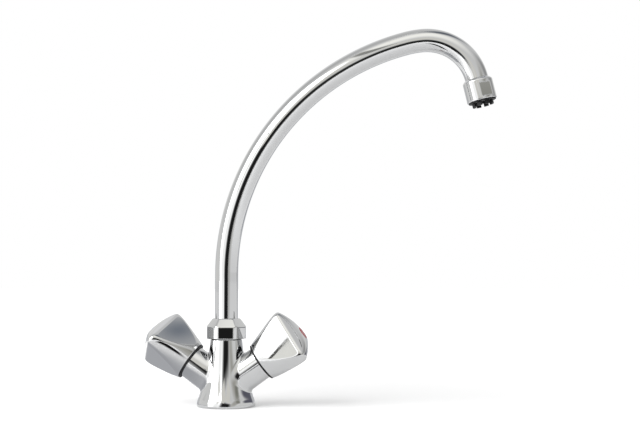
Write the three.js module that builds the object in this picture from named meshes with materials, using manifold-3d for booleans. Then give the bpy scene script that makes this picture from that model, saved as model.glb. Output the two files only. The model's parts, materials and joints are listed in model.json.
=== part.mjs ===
// A two handle kitchen faucet: a cast Y body with a swivelling swan-neck spout and two
// quarter-turn valves under three-lobed handles. Millimetres, +Z up, origin on the deck at the
// column's centre. The right arm and the spout point along +X, the left arm along -X.
import * as THREE from "three";
import { mergeVertices } from "three/addons/utils/BufferGeometryUtils.js";
import Module from "manifold-3d";

const wasm = await Module();
wasm.setup();

// ---- fits -----------------------------------------------------------------------------------
const SEAT = 0.3; // gap between pieces that are seated on each other
const RUN = 0.1; // radial clearance of turning fits
const FACE = 0.06; // gap between the two ceramic faces
const OVERRUN = 1; // how far a cutting tool runs past the face it cuts
const CHAMFER = 0.5; // broken outer edges

// ---- spout tube -----------------------------------------------------------------------------
const TUBE_R = 9;
const TUBE_WALL = 1;
const TUBE_ENTRY = 9.4; // how far the tube goes down into the neck
const RISER_TOP = 102.5; // height where the first bend starts
const SWEEP_R = 184; // the three bends, from the riser to the outlet
const SWEEP_TURN = 76.5;
const SHOULDER_R = 75;
const SHOULDER_TURN = 9.5;
const CROOK_R = 40;
const CROOK_TURN = 80.5;
const TAIL = 7.2; // straight end that the aerator screws on
const BEND_STEP = 7; // degrees between the rings of the bent tube
const TUBE_SIDES = 18;

// ---- spout foot -----------------------------------------------------------------------------
const FOOT_LAND = 0.5; // how much wider than the tube the foot is
const FOOT_BODY_H = 15.2; // turned foot below the tube
const FOOT_SPIGOT_H = 7;
const FOOT_BORE_R = 5.8;
const FOOT_FLOOR = 1.1; // room under the foot
const SEAL_SECTION = 1.5; // section of the spout's O-rings
const SEAL_SPACING = 6;
const COLLAR_H = 2; // brass collar that the nut holds down
const GLIDE_H = 1.2;

// ---- column and base ------------------------------------------------------------------------
const FOOT_R = 22.8; // radius of the base on the deck
const FOOT_BAND = 3.6; // upright band round the base
const COLUMN_TOP = 52; // height of the shoulder that the nut stops at
const COLUMN_STEP = 0.9; // width of that shoulder
const FLARE_PULL = 3.1; // control point of the concave flare, out from the column
const FLARE_PULL_Z = 21;
const FLARE_STEPS = 7;
const NECK_WALL = 1.8; // threaded neck inside the nut
const NECK_H = 7.4;
const CHAMBER_R = 7; // mixing chamber below the bore
const CHAMBER_DEPTH = 8;

// ---- underside ------------------------------------------------------------------------------
const INLET_R = 4.45; // M10 x 1 hose thread
const INLET_DEPTH = 10;
const INLET_X = 9.5;
const PASSAGE_R = 2.5; // from each inlet to its valve seat
const STUD_R = 3.4; // M8 fixing stud
const STUD_DEPTH = 14;
const STUD_WALL = 1.4; // metal left between the stud and the gasket's groove
const GASKET_INSET = 2.8; // from the base's rim to the middle of the gasket ring
const GASKET_W = 2.8;
const GASKET_T = 1.8;

// ---- arms -----------------------------------------------------------------------------------
const ARM_RISE = 35; // degrees above the deck
const ARM_Z = 15; // where the arm axes meet the column's axis
const ARM_END = 37; // arm length from the column's axis, along the arm
const ARM_TAPER = 0.6; // how much thicker the arm is at the column's axis
const ARM_WALL = 1.2; // round the pocket at its end
const VALVE_SEAT = 21; // bottom of the valve bore, along the arm
const VALVE_THREAD_STEP = 1.1; // thread outside the valve bore
const VALVE_THREAD_H = 9;
const RING_POCKET_W = 1.2; // counterbore for the ring under the bonnet
const RING_POCKET_H = 1.9;
const PORT_IN = 6; // drilled port from each valve bore to the chamber, off the valve's axis
const PORT_UP = 2;

// ---- spout nut ------------------------------------------------------------------------------
const NUT_WALL = 2.1; // from the neck to its flats
const NUT_HEX_H = 8.2;
const NUT_CONE_H = 5.8;
const NUT_TOP_RIM = 2; // from the tube to the cone's upper edge
const NUT_TURN = -19; // degrees about the column, where its flats lie

// ---- aerator --------------------------------------------------------------------------------
const AERATOR_STEP = 2.6; // how much wider than the tube it is
const AERATOR_H = 17.5;
const AERATOR_GRIP = 7; // how far it goes over the tube
const AERATOR_CHAMFER = 2;
const AERATOR_FLAT_CUT = 0.9; // depth of the two spanner flats
const AERATOR_FLATS_H = 10.5;
const AERATOR_RIM = 2.2; // round rim below the flats
const AERATOR_SHELL = 1.9; // housing wall round the insert
const INSERT_WALL = 1.6;
const INSERT_DROP = 3.8; // how far its teeth stand out below
const INSERT_TEETH = 8;
const TOOTH_GAP = 2.56; // width of the notches between the teeth
const TOOTH_STEP = 1.4; // how far the teeth stand in from the insert's side
const TOOTH_LEDGE = 0.6; // ledge above the housing's rim
const WASHER_T = 1.8;
const WASHER_W = 3;
const PLATE_T = 1.4;
const PLATE_HOLES = 8;
const PLATE_HOLE_R = 0.8;
const PLATE_HOLE_INSET = 3; // from the teeth's circle
const SCREEN_T = 0.8;
const SCREEN_PITCH = 2.6;
const SCREEN_WIRE = 0.7;

// ---- valve ----------------------------------------------------------------------------------
const LIP_SEAL_T = 1.9;
const LIP_SEAL_BORE_R = 4.2;
const DISC_R = 7.7;
const DISC_T = 2.8;
const PORT_R = 1.9;
const PORT_OFFSET = 4.1;
const BONNET_WALL = 1.1;
const BONNET_FLANGE_T = 2.2;
const BONNET_FLANGE_INSET = 0.7; // from the arm's side
const BONNET_THREAD_RELIEF = 0.9;
const BONNET_PLAY = 0.5; // water space round the bonnet
const BONNET_HEX = 20;
const BONNET_HEX_H = 5.5;
const BONNET_NECK_R = 6.9;
const BONNET_NECK_H = 5;
const BONNET_RING = 1.5;
const SPINDLE_R = 4.5;
const SPINDLE_DRIVER_T = 2;
const SPLINE_STEP = 0.6; // spline inside the stem
const SPLINE_DEPTH = 0.45;
const SPLINE_TEETH = 20;
const SPLINE_L = 8.2;
const STEM_RING = 1.3;
const CLIP_T = 0.8;
const CLIP_W = 1.9;
const CLIP_OPEN = 50; // degrees

// ---- handle ---------------------------------------------------------------------------------
const HANDLE_LAP = 2; // how far the skirt reaches over the arm
const HANDLE_GAP = 0.8; // room between the skirt and the arm
const HANDLE_L = 30.5; // rim to the lobes' corners
const HANDLE_RIM_STEP = 0.25; // how far the rim stands out beyond the flats
const HANDLE_SPREAD = 9.35; // how much the lobes widen from the rim to their corners
const HANDLE_CROWN = 6.9; // how far the end swells beyond the corners
const CROWN_PITCH = 0.84; // slope of the crown at the three flats
const CROWN_BLEND = 2.5;
const SKIRT_WALL = 1.8;
const BOSS_WALL = 2.4;
const INDEX_R = 5.15;
const INDEX_T = 2;
const INDEX_EDGE = 0.3;
const INSERT_BUSH_WALL = 2.2;
const SCREW_R = 1.8;
const SCREW_HEAD_R = 3.4;
const SCREW_HEAD_H = 2.2;
const SCREW_SLOT = 0.9;
const SCREW_L = 9;
const LEFT_LOBE = -30; // turn of the top lobe, degrees from upright toward the front
const RIGHT_LOBE = 12;

const SEGMENTS = 16;
const MID_SEGMENTS = 20;
const WIDE_SEGMENTS = 28; // round the larger diameters
const RING_SIDES = 5; // round the section of an O-ring
const HOLE_SIDES = 6;
const LOBE_STEPS = 4;
const FLAT_STEPS = 4;
const WELD = 1e-4; // points closer than this are one
const rad = THREE.MathUtils.degToRad;

// ---- solids ---------------------------------------------------------------------------------
function solid(geometry) {
  const bare = geometry.index ? geometry.toNonIndexed() : geometry.clone();
  bare.deleteAttribute("normal");
  bare.deleteAttribute("uv");
  const merged = mergeVertices(bare, WELD);
  return new wasm.Manifold(
    new wasm.Mesh({
      numProp: 3,
      vertProperties: merged.attributes.position.array,
      triVerts: new Uint32Array(merged.index.array),
    }),
  );
}

function geometryOf(manifold) {
  const mesh = manifold.getMesh();
  const geometry = new THREE.BufferGeometry();
  geometry.setAttribute("position", new THREE.BufferAttribute(mesh.vertProperties, 3));
  geometry.setIndex(new THREE.BufferAttribute(mesh.triVerts, 1));
  return geometry;
}

// A bore is circumscribed about its circle, so what turns in it stays clear of its facets.
const bore = (radius, segments = SEGMENTS) => radius / Math.cos(Math.PI / segments);

// A turned piece from its profile of [radius, height] points, in order anticlockwise.
function turned(profile, segments = SEGMENTS) {
  const points = profile.map(([r, z]) => new THREE.Vector2(r, z));
  const geometry = new THREE.LatheGeometry(points, segments);
  geometry.rotateX(Math.PI / 2);
  return solid(geometry);
}

const rod = (radius, low, high, segments = SEGMENTS) =>
  turned(
    [
      [0, low],
      [radius, low],
      [radius, high],
      [0, high],
    ],
    segments,
  );

const ring = (inner, outer, low, high, segments = SEGMENTS) =>
  turned(
    [
      [bore(inner, segments), low],
      [outer, low],
      [outer, high],
      [bore(inner, segments), high],
      [bore(inner, segments), low],
    ],
    segments,
  );

function roundRing(middle, section, height) {
  const geometry = new THREE.TorusGeometry(middle, section / 2, RING_SIDES, SEGMENTS);
  geometry.translate(0, 0, height);
  return solid(geometry);
}

function block(width, depth, low, high, x = 0, y = 0) {
  const geometry = new THREE.BoxGeometry(width, depth, high - low);
  geometry.translate(x, y, (low + high) / 2);
  return solid(geometry);
}

function prism(outline, low, high) {
  const shape = new THREE.Shape(outline);
  const geometry = new THREE.ExtrudeGeometry(shape, { depth: high - low, bevelEnabled: false });
  geometry.translate(0, 0, low);
  return solid(geometry);
}

function hexagon(flats, low, high) {
  const corner = flats / 2 / Math.cos(Math.PI / 6);
  const outline = [];
  for (let i = 0; i < 6; i += 1) {
    const angle = (i * Math.PI) / 3 + Math.PI / 6;
    outline.push(new THREE.Vector2(corner * Math.cos(angle), corner * Math.sin(angle)));
  }
  return prism(outline, low, high);
}

// A straight hole between two points of the XZ plane.
function slantRod(radius, from, to) {
  const axis = new THREE.Vector3(to[0] - from[0], 0, to[1] - from[1]);
  const geometry = new THREE.CylinderGeometry(radius, radius, axis.length(), SEGMENTS);
  geometry.translate(0, axis.length() / 2, 0);
  const turn = new THREE.Quaternion().setFromUnitVectors(
    new THREE.Vector3(0, 1, 0),
    axis.clone().normalize(),
  );
  geometry.applyQuaternion(turn);
  geometry.translate(from[0], 0, from[1]);
  return solid(geometry);
}

// ---- finishes -------------------------------------------------------------------------------
const finish = (color, roughness, metalness) => () =>
  new THREE.MeshStandardMaterial({ color, roughness, metalness });
const chrome = finish(0xc9cbcf, 0.08, 1);
const brass = finish(0xb99a5b, 0.35, 1);
const rubber = finish(0x1a1a1b, 0.8, 0);
const blackPlastic = finish(0x151516, 0.5, 0);
const whitePlastic = finish(0xd8d8d4, 0.5, 0);
const ceramic = finish(0xe9e6df, 0.3, 0);
const steel = finish(0x9a9c9f, 0.3, 1);
const redPlastic = finish(0xb3202a, 0.35, 0);
const bluePlastic = finish(0x1f4fa0, 0.35, 0);

function piece(name, manifold, material) {
  const mesh = new THREE.Mesh(geometryOf(manifold), material());
  mesh.name = name;
  return mesh;
}

// ---- places worked out from the sizes -------------------------------------------------------
const boreR = TUBE_R + FOOT_LAND + RUN;
const neckR = boreR + NECK_WALL;
const columnR = neckR + COLUMN_STEP;
const neckTop = COLUMN_TOP + NECK_H;
const tubeFoot = neckTop - TUBE_ENTRY;
const footTop = tubeFoot - SEAT;
const footLow = footTop - FOOT_BODY_H;
const boreFloor = footLow - FOOT_FLOOR;
const chamberFloor = boreFloor - CHAMBER_DEPTH;
const collarR = neckR - SEAT;
const collarLow = neckTop + SEAT;
const collarHigh = collarLow + COLLAR_H;
const glideLow = collarHigh + SEAT;
const glideHigh = glideLow + GLIDE_H;
const nutLow = COLUMN_TOP + SEAT;
const nutShoulder = COLUMN_TOP + NUT_HEX_H;
const nutTop = nutShoulder + NUT_CONE_H;
const nutFlats = 2 * (neckR + NUT_WALL);

const gasketR = FOOT_R - GASKET_INSET;
const grooveIn = gasketR - GASKET_W / 2 - SEAT;
const grooveOut = gasketR + GASKET_W / 2 + SEAT;
const studY = grooveIn - STUD_WALL - STUD_R;

const bonnetR = DISC_R + SEAT + BONNET_WALL;
const valveBoreR = bonnetR + BONNET_PLAY;
const valveThreadR = valveBoreR + VALVE_THREAD_STEP;
const valveThreadLow = ARM_END - VALVE_THREAD_H;
const ringPocketR = valveThreadR + RING_POCKET_W;
const ringPocketLow = ARM_END - RING_POCKET_H;
const armEndR = ringPocketR + ARM_WALL;
const armRootR = armEndR + ARM_TAPER;

// ---- body -----------------------------------------------------------------------------------
function flare() {
  const curve = new THREE.QuadraticBezierCurve(
    new THREE.Vector2(FOOT_R, FOOT_BAND),
    new THREE.Vector2(columnR + FLARE_PULL, FLARE_PULL_Z),
    new THREE.Vector2(columnR, COLUMN_TOP),
  );
  return curve.getPoints(FLARE_STEPS).map((p) => [p.x, p.y]);
}

// A point of the XZ plane, from its place along the right arm and off the arm's axis, upward.
function armPoint(along, off) {
  const rise = rad(ARM_RISE);
  return [
    along * Math.cos(rise) - off * Math.sin(rise),
    ARM_Z + along * Math.sin(rise) + off * Math.cos(rise),
  ];
}

// Puts a solid made about +Z on an arm's axis: side is 1 for the right arm, -1 for the left.
function onArm(manifold, side) {
  const geometry = geometryOf(manifold);
  geometry.rotateY(Math.PI / 2 - rad(ARM_RISE));
  geometry.translate(0, 0, ARM_Z);
  geometry.rotateZ(side < 0 ? Math.PI : 0);
  return solid(geometry);
}

function shifted(manifold, x, y) {
  const geometry = geometryOf(manifold);
  geometry.translate(x, y, 0);
  return solid(geometry);
}

function armOuter() {
  return turned(
    [
      [0, 0],
      [armRootR, 0],
      [armEndR, ARM_END],
      [0, ARM_END],
    ],
    WIDE_SEGMENTS,
  );
}

function armBores() {
  return turned([
    [0, VALVE_SEAT],
    [bore(valveBoreR), VALVE_SEAT],
    [bore(valveBoreR), valveThreadLow],
    [bore(valveThreadR), valveThreadLow],
    [bore(valveThreadR), ringPocketLow],
    [bore(ringPocketR), ringPocketLow],
    [bore(ringPocketR), ARM_END + OVERRUN],
    [0, ARM_END + OVERRUN],
  ]);
}

// What one side's water runs through: the hose thread, the passage up to the valve seat, and the
// port from the valve back to the mixing chamber.
function waterWay(side) {
  const inlet = shifted(rod(INLET_R, -OVERRUN, INLET_DEPTH, MID_SEGMENTS), side * INLET_X, 0);
  const mirror = ([x, z]) => [side * x, z];
  const passage = slantRod(
    PASSAGE_R,
    [side * INLET_X, INLET_DEPTH - OVERRUN],
    mirror(armPoint(VALVE_SEAT + OVERRUN, 0)),
  );
  const port = slantRod(
    PASSAGE_R,
    mirror(armPoint(VALVE_SEAT + PORT_UP, PORT_IN)),
    [side * (CHAMBER_R - PASSAGE_R), (boreFloor + chamberFloor) / 2],
  );
  return [inlet, passage, port];
}

function mixerBody() {
  let body = turned(
    [[0, 0], [FOOT_R, 0], ...flare(), [neckR, COLUMN_TOP], [neckR, neckTop], [0, neckTop]],
    WIDE_SEGMENTS,
  );
  for (const side of [-1, 1]) {
    body = body.add(onArm(armOuter(), side));
  }
  body = body.subtract(rod(bore(boreR), boreFloor, neckTop + OVERRUN));
  body = body.subtract(rod(CHAMBER_R, chamberFloor, boreFloor + OVERRUN));
  for (const side of [-1, 1]) {
    body = body.subtract(onArm(armBores(), side));
    for (const way of waterWay(side)) {
      body = body.subtract(way);
    }
  }
  body = body.subtract(shifted(rod(STUD_R, -OVERRUN, STUD_DEPTH, MID_SEGMENTS), 0, studY));
  const wide = bore(grooveOut, WIDE_SEGMENTS);
  return body.subtract(ring(grooveIn, wide, -OVERRUN, GASKET_T + SEAT, WIDE_SEGMENTS));
}

function baseGasket() {
  const half = GASKET_W / 2;
  return ring(gasketR - half, gasketR + half, 0, GASKET_T, WIDE_SEGMENTS);
}

function spoutNut() {
  const corner = nutFlats / 2 / Math.cos(Math.PI / 6);
  const rim = TUBE_R + NUT_TOP_RIM;
  const slope = (corner - rim) / NUT_CONE_H;
  const blank = turned(
    [
      [0, nutLow],
      [corner - CHAMFER, nutLow],
      [corner, nutLow + CHAMFER],
      [corner, nutShoulder],
      [rim + slope * CHAMFER, nutTop - CHAMFER],
      [rim, nutTop],
      [0, nutTop],
    ],
    WIDE_SEGMENTS,
  );
  return blank
    .intersect(hexagon(nutFlats, nutLow - OVERRUN, nutTop + OVERRUN))
    .subtract(rod(bore(neckR + SEAT), nutLow - OVERRUN, glideHigh + SEAT))
    .subtract(rod(bore(TUBE_R + RUN), nutLow - OVERRUN, nutTop + OVERRUN));
}

// ---- spout ----------------------------------------------------------------------------------
// The spout's centre line in the XZ plane: a riser, then arcs that turn clockwise, then a straight
// tail. Its stations lie closer together where it bends, so t is not its length.
class SpoutLine extends THREE.Curve {
  constructor() {
    super();
    this.stations = [{ x: 0, z: tubeFoot, heading: Math.PI / 2 }];
    this.stations.push({ x: 0, z: RISER_TOP, heading: Math.PI / 2 });
    this.bend(SWEEP_R, SWEEP_TURN);
    this.bend(SHOULDER_R, SHOULDER_TURN);
    this.bend(CROOK_R, CROOK_TURN);
    const last = this.end();
    this.stations.push({
      x: last.x + TAIL * Math.cos(last.heading),
      z: last.z + TAIL * Math.sin(last.heading),
      heading: last.heading,
    });
  }

  end() {
    return this.stations[this.stations.length - 1];
  }

  bend(radius, turn) {
    const steps = Math.ceil(turn / BEND_STEP);
    for (let i = 0; i < steps; i += 1) {
      this.stations.push(this.around(radius, rad(turn) / steps));
    }
  }

  around(radius, turn) {
    const { x, z, heading } = this.end();
    return {
      x: x + radius * (Math.sin(heading) - Math.sin(heading - turn)),
      z: z - radius * (Math.cos(heading) - Math.cos(heading - turn)),
      heading: heading - turn,
    };
  }

  get steps() {
    return this.stations.length - 1;
  }

  station(t) {
    return this.stations[Math.round(t * this.steps)];
  }

  getPoint(t, target = new THREE.Vector3()) {
    const { x, z } = this.station(t);
    return target.set(x, 0, z);
  }

  getTangent(t, target = new THREE.Vector3()) {
    const { heading } = this.station(t);
    return target.set(Math.cos(heading), 0, Math.sin(heading));
  }

  getPointAt(u, target) {
    return this.getPoint(u, target);
  }

  getTangentAt(u, target) {
    return this.getTangent(u, target);
  }
}

const spout = new SpoutLine();

function spoutTube() {
  const section = new THREE.Shape().absarc(0, 0, TUBE_R, 0, 2 * Math.PI);
  section.holes.push(new THREE.Path().absarc(0, 0, TUBE_R - TUBE_WALL, 0, 2 * Math.PI, true));
  const geometry = new THREE.ExtrudeGeometry(section, {
    extrudePath: spout,
    steps: spout.steps,
    curveSegments: TUBE_SIDES / 2,
  });
  return solid(geometry);
}

// The foot turns in the body's bore on its two O-rings; its spigot is brazed into the tube.
function spoutFoot() {
  const outer = boreR - RUN;
  const groove = outer - SEAL_SECTION - SEAT;
  const half = SEAL_SECTION / 2 + SEAT;
  const spigot = TUBE_R - TUBE_WALL - SEAT;
  const [lower, upper] = sealHeights();
  return turned([
    [FOOT_BORE_R, footLow],
    [outer, footLow],
    [outer, lower - half],
    [groove, lower - half],
    [groove, lower + half],
    [outer, lower + half],
    [outer, upper - half],
    [groove, upper - half],
    [groove, upper + half],
    [outer, upper + half],
    [outer, footTop],
    [spigot, footTop],
    [spigot, tubeFoot + FOOT_SPIGOT_H],
    [FOOT_BORE_R, tubeFoot + FOOT_SPIGOT_H],
    [FOOT_BORE_R, footLow],
  ]);
}

function sealHeights() {
  const middle = (footLow + footTop) / 2;
  return [middle - SEAL_SPACING / 2, middle + SEAL_SPACING / 2];
}

const spoutRing = (height) => roundRing(boreR - RUN / 2 - SEAL_SECTION / 2, SEAL_SECTION, height);
const spoutCollar = () => ring(TUBE_R + RUN, collarR, collarLow, collarHigh);
const glideRing = () => ring(TUBE_R + RUN, collarR, glideLow, glideHigh);

// ---- aerator, along its own axis downward from the housing's top -----------------------------
const aeratorR = TUBE_R + AERATOR_STEP;
const insertR = aeratorR - AERATOR_SHELL;
const plateR = insertR - INSERT_WALL - SEAT;
const toothR = insertR - TOOTH_STEP;
const washerTop = AERATOR_GRIP + SEAT;
const insertTop = washerTop + WASHER_T + SEAT;
const plateTop = insertTop + INSERT_WALL + SEAT;
const screenTop = plateTop + PLATE_T + SEAT;
const screenLow = screenTop + SCREEN_T + SEAT;

function aeratorHousing() {
  const blank = turned(
    [
      [0, 0],
      [aeratorR - AERATOR_CHAMFER, 0],
      [aeratorR, AERATOR_CHAMFER],
      [aeratorR, AERATOR_H - CHAMFER],
      [aeratorR - CHAMFER, AERATOR_H],
      [0, AERATOR_H],
    ],
    WIDE_SEGMENTS,
  );
  const high = AERATOR_H - AERATOR_RIM;
  const low = high - AERATOR_FLATS_H;
  const beside = aeratorR - AERATOR_FLAT_CUT + aeratorR / 2;
  return blank
    .subtract(block(2 * aeratorR + OVERRUN, aeratorR, low, high, 0, beside))
    .subtract(block(2 * aeratorR + OVERRUN, aeratorR, low, high, 0, -beside))
    .subtract(rod(bore(TUBE_R + SEAT), -OVERRUN, washerTop))
    .subtract(rod(bore(insertR + SEAT), AERATOR_GRIP, AERATOR_H + OVERRUN));
}

const aeratorWasher = () => ring(insertR - WASHER_W, insertR, washerTop, washerTop + WASHER_T);

function aeratorInsert() {
  const bottom = AERATOR_H + INSERT_DROP;
  const ledge = AERATOR_H - TOOTH_LEDGE;
  let insert = turned([
    [insertR - 2 * INSERT_WALL, insertTop],
    [insertR, insertTop],
    [insertR, ledge],
    [toothR, ledge],
    [toothR, bottom],
    [toothR - INSERT_WALL, bottom],
    [toothR - INSERT_WALL, screenLow],
    [insertR - INSERT_WALL, screenLow],
    [insertR - INSERT_WALL, insertTop + INSERT_WALL],
    [insertR - 2 * INSERT_WALL, insertTop + INSERT_WALL],
    [insertR - 2 * INSERT_WALL, insertTop],
  ]);
  for (let i = 0; i < INSERT_TEETH / 2; i += 1) {
    const geometry = new THREE.BoxGeometry(2 * insertR, TOOTH_GAP, INSERT_DROP);
    geometry.translate(0, 0, bottom);
    geometry.rotateZ((2 * Math.PI * (i + 0.5)) / INSERT_TEETH);
    insert = insert.subtract(solid(geometry));
  }
  return insert;
}

function jetPlate() {
  const circle = toothR - PLATE_HOLE_INSET;
  let plate = rod(plateR, plateTop, plateTop + PLATE_T);
  for (let i = 0; i < PLATE_HOLES; i += 1) {
    const angle = (2 * Math.PI * i) / PLATE_HOLES;
    const hole = rod(PLATE_HOLE_R, plateTop - OVERRUN, plateTop + PLATE_T + OVERRUN, HOLE_SIDES);
    plate = plate.subtract(shifted(hole, circle * Math.cos(angle), circle * Math.sin(angle)));
  }
  return plate;
}

function aeratorScreen() {
  let screen = rod(plateR, screenTop, screenTop + SCREEN_T);
  const opening = SCREEN_PITCH - SCREEN_WIRE;
  const field = plateR - SCREEN_WIRE;
  const reach = Math.floor(field / SCREEN_PITCH);
  for (let i = -reach; i <= reach; i += 1) {
    for (let j = -reach; j <= reach; j += 1) {
      const x = i * SCREEN_PITCH;
      const y = j * SCREEN_PITCH;
      if (Math.hypot(Math.abs(x) + opening / 2, Math.abs(y) + opening / 2) < field) {
        const mesh = block(opening, opening, screenTop - OVERRUN, screenLow + OVERRUN, x, y);
        screen = screen.subtract(mesh);
      }
    }
  }
  return screen;
}

// ---- valve, along the arm from the column's axis ---------------------------------------------
const sealTop = VALVE_SEAT + SEAT + LIP_SEAL_T;
const fixedTop = sealTop + SEAT + DISC_T;
const movingTop = fixedTop + FACE + DISC_T;
const driverTop = movingTop + SEAT + SPINDLE_DRIVER_T;
const stemLow = driverTop + SEAT;
const bonnetThreadR = valveThreadR - SEAT;
const bonnetReliefR = bonnetThreadR - BONNET_THREAD_RELIEF;
const flangeLow = ARM_END + SEAT;
const hexLow = flangeLow + BONNET_FLANGE_T;
const neckLow = hexLow + BONNET_HEX_H;
const bonnetTop = neckLow + BONNET_NECK_H;
const clipLow = bonnetTop + SEAT;
const splineLow = clipLow + CLIP_T + 2 * SEAT;
const splineTop = splineLow + SPLINE_L;
const stemRingAt = (stemLow + bonnetTop) / 2;

function valveBonnet() {
  const cavity = bore(DISC_R + SEAT);
  const stem = bore(SPINDLE_R + RUN);
  const corner = BONNET_HEX / 2 / Math.cos(Math.PI / 6);
  const flange = armEndR - BONNET_FLANGE_INSET;
  const body = turned([
    [cavity, VALVE_SEAT + SEAT],
    [bonnetR, VALVE_SEAT + SEAT],
    [bonnetR, valveThreadLow + SEAT],
    [bonnetThreadR, valveThreadLow + SEAT],
    [bonnetThreadR, ringPocketLow],
    [bonnetReliefR, ringPocketLow],
    [bonnetReliefR, flangeLow],
    [flange, flangeLow],
    [flange, hexLow],
    [corner, hexLow],
    [corner, neckLow],
    [BONNET_NECK_R, neckLow],
    [BONNET_NECK_R, bonnetTop],
    [stem, bonnetTop],
    [stem, stemLow],
    [cavity, stemLow],
    [cavity, VALVE_SEAT + SEAT],
  ]);
  const round = ring(BONNET_NECK_R, flange, hexLow, neckLow);
  const spannerFlats = round.subtract(hexagon(BONNET_HEX, hexLow - OVERRUN, neckLow + OVERRUN));
  // Two windows let the water out beside the moving disc.
  const windows = block(2 * valveBoreR, DISC_R, movingTop - DISC_T, driverTop);
  return body.subtract(spannerFlats).subtract(windows);
}

const bonnetRing = () =>
  roundRing((bonnetReliefR + ringPocketR) / 2, BONNET_RING, ARM_END - RING_POCKET_H / 2);
const discSeal = () => ring(LIP_SEAL_BORE_R, DISC_R, VALVE_SEAT + SEAT, sealTop);

function disc(low, portTurn) {
  let plate = rod(DISC_R, low, low + DISC_T);
  for (const side of [-1, 1]) {
    const hole = rod(PORT_R, low - OVERRUN, low + DISC_T + OVERRUN, 2 * HOLE_SIDES);
    const port = geometryOf(shifted(hole, side * PORT_OFFSET, 0));
    port.rotateZ(portTurn);
    plate = plate.subtract(solid(port));
  }
  return plate;
}

function splineOutline(tip, root) {
  const outline = [];
  for (let i = 0; i < 2 * SPLINE_TEETH; i += 1) {
    const radius = i % 2 ? root : tip;
    const angle = (Math.PI * i) / SPLINE_TEETH;
    outline.push(new THREE.Vector2(radius * Math.cos(angle), radius * Math.sin(angle)));
  }
  return outline;
}

const splineR = SPINDLE_R - SPLINE_STEP;
const splineRootR = splineR - SPLINE_DEPTH;

function spindle() {
  const groove = SPINDLE_R - STEM_RING - 2 * SEAT;
  const half = STEM_RING / 2 + SEAT;
  const clipFloor = SPINDLE_R - CLIP_W / 2 - SEAT;
  const stem = turned([
    [0, movingTop + SEAT],
    [DISC_R, movingTop + SEAT],
    [DISC_R, driverTop],
    [SPINDLE_R, driverTop],
    [SPINDLE_R, stemRingAt - half],
    [groove, stemRingAt - half],
    [groove, stemRingAt + half],
    [SPINDLE_R, stemRingAt + half],
    [SPINDLE_R, clipLow - SEAT],
    [clipFloor, clipLow - SEAT],
    [clipFloor, splineLow - SEAT],
    [splineRootR, splineLow - SEAT],
    [splineRootR, splineLow],
    [0, splineLow],
  ]);
  const spline = prism(splineOutline(splineR, splineRootR), splineLow - SEAT, splineTop);
  return stem
    .add(spline)
    .subtract(rod(SCREW_R + SEAT, splineTop - SCREW_L, splineTop + OVERRUN));
}

const spindleRing = () =>
  roundRing(SPINDLE_R + RUN / 2 - STEM_RING / 2, STEM_RING, stemRingAt);

function spindleClip() {
  const inner = SPINDLE_R - CLIP_W / 2;
  const half = rad(CLIP_OPEN) / 2;
  const shape = new THREE.Shape();
  shape.absarc(0, 0, inner + CLIP_W, half, 2 * Math.PI - half);
  shape.absarc(0, 0, inner, 2 * Math.PI - half, half, true);
  const geometry = new THREE.ExtrudeGeometry(shape, {
    depth: CLIP_T,
    bevelEnabled: false,
    curveSegments: SEGMENTS / 2,
  });
  geometry.translate(0, 0, clipLow);
  return solid(geometry);
}

// ---- handle, along the arm -------------------------------------------------------------------
const flatR = armEndR + HANDLE_GAP + SKIRT_WALL;
const rimR = flatR + HANDLE_RIM_STEP;
const lobeR = rimR + HANDLE_SPREAD;
const handleRim = ARM_END - HANDLE_LAP;
const handleEnd = handleRim + HANDLE_L;
const crownTop = handleEnd + HANDLE_CROWN;
const indexFloor = crownTop - INDEX_T - SEAT;
const screwSeat = splineTop + SEAT + SCREW_HEAD_H / 2;
const bushR = splineR + INSERT_BUSH_WALL;

// One closed ring of the handle's outer skin: three round lobes joined by three flats.
function lobedRing(radius) {
  const points = [];
  const half = Math.PI / 3 - Math.acos(flatR / radius);
  const at = (angle) => new THREE.Vector2(radius * Math.cos(angle), radius * Math.sin(angle));
  for (let lobe = 0; lobe < 3; lobe += 1) {
    const middle = (2 * Math.PI * lobe) / 3;
    for (let i = 0; i <= LOBE_STEPS; i += 1) {
      points.push(at(middle - half + (2 * half * i) / LOBE_STEPS));
    }
    const from = at(middle + half);
    const to = at(middle + (2 * Math.PI) / 3 - half);
    for (let i = 1; i < FLAT_STEPS; i += 1) {
      points.push(from.clone().lerp(to, i / FLAT_STEPS));
    }
  }
  return points;
}

// The lesser of two heights, blended where they are within CROWN_BLEND of each other.
function lesser(a, b) {
  const share = THREE.MathUtils.clamp(0.5 + (b - a) / (2 * CROWN_BLEND), 0, 1);
  return THREE.MathUtils.lerp(b, a, share) - CROWN_BLEND * share * (1 - share);
}

// Height of the elliptical dome over the corners' plane, at a distance from the handle's axis.
const domeHeight = (r) => HANDLE_CROWN * Math.sqrt(Math.max(0, 1 - (r / lobeR) ** 2));

// Height of the crowned end over that plane: the dome, sloped down to the three flats.
function crownHeight(x, y) {
  let height = domeHeight(Math.hypot(x, y));
  for (let i = 0; i < 3; i += 1) {
    const angle = (Math.PI * (2 * i + 1)) / 3;
    const inFromFlat = flatR - x * Math.cos(angle) - y * Math.sin(angle);
    height = lesser(height, inFromFlat * CROWN_PITCH);
  }
  return height;
}

const SKIRT_LEVELS = [0, 0.04, 0.13, 0.3, 0.6, 1]; // rings of the skirt, closer at the rim
const CROWN_SHARES = [0.96, 0.86, 0.7, 0.5, 0.25]; // rings of the crown, inward

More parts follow.
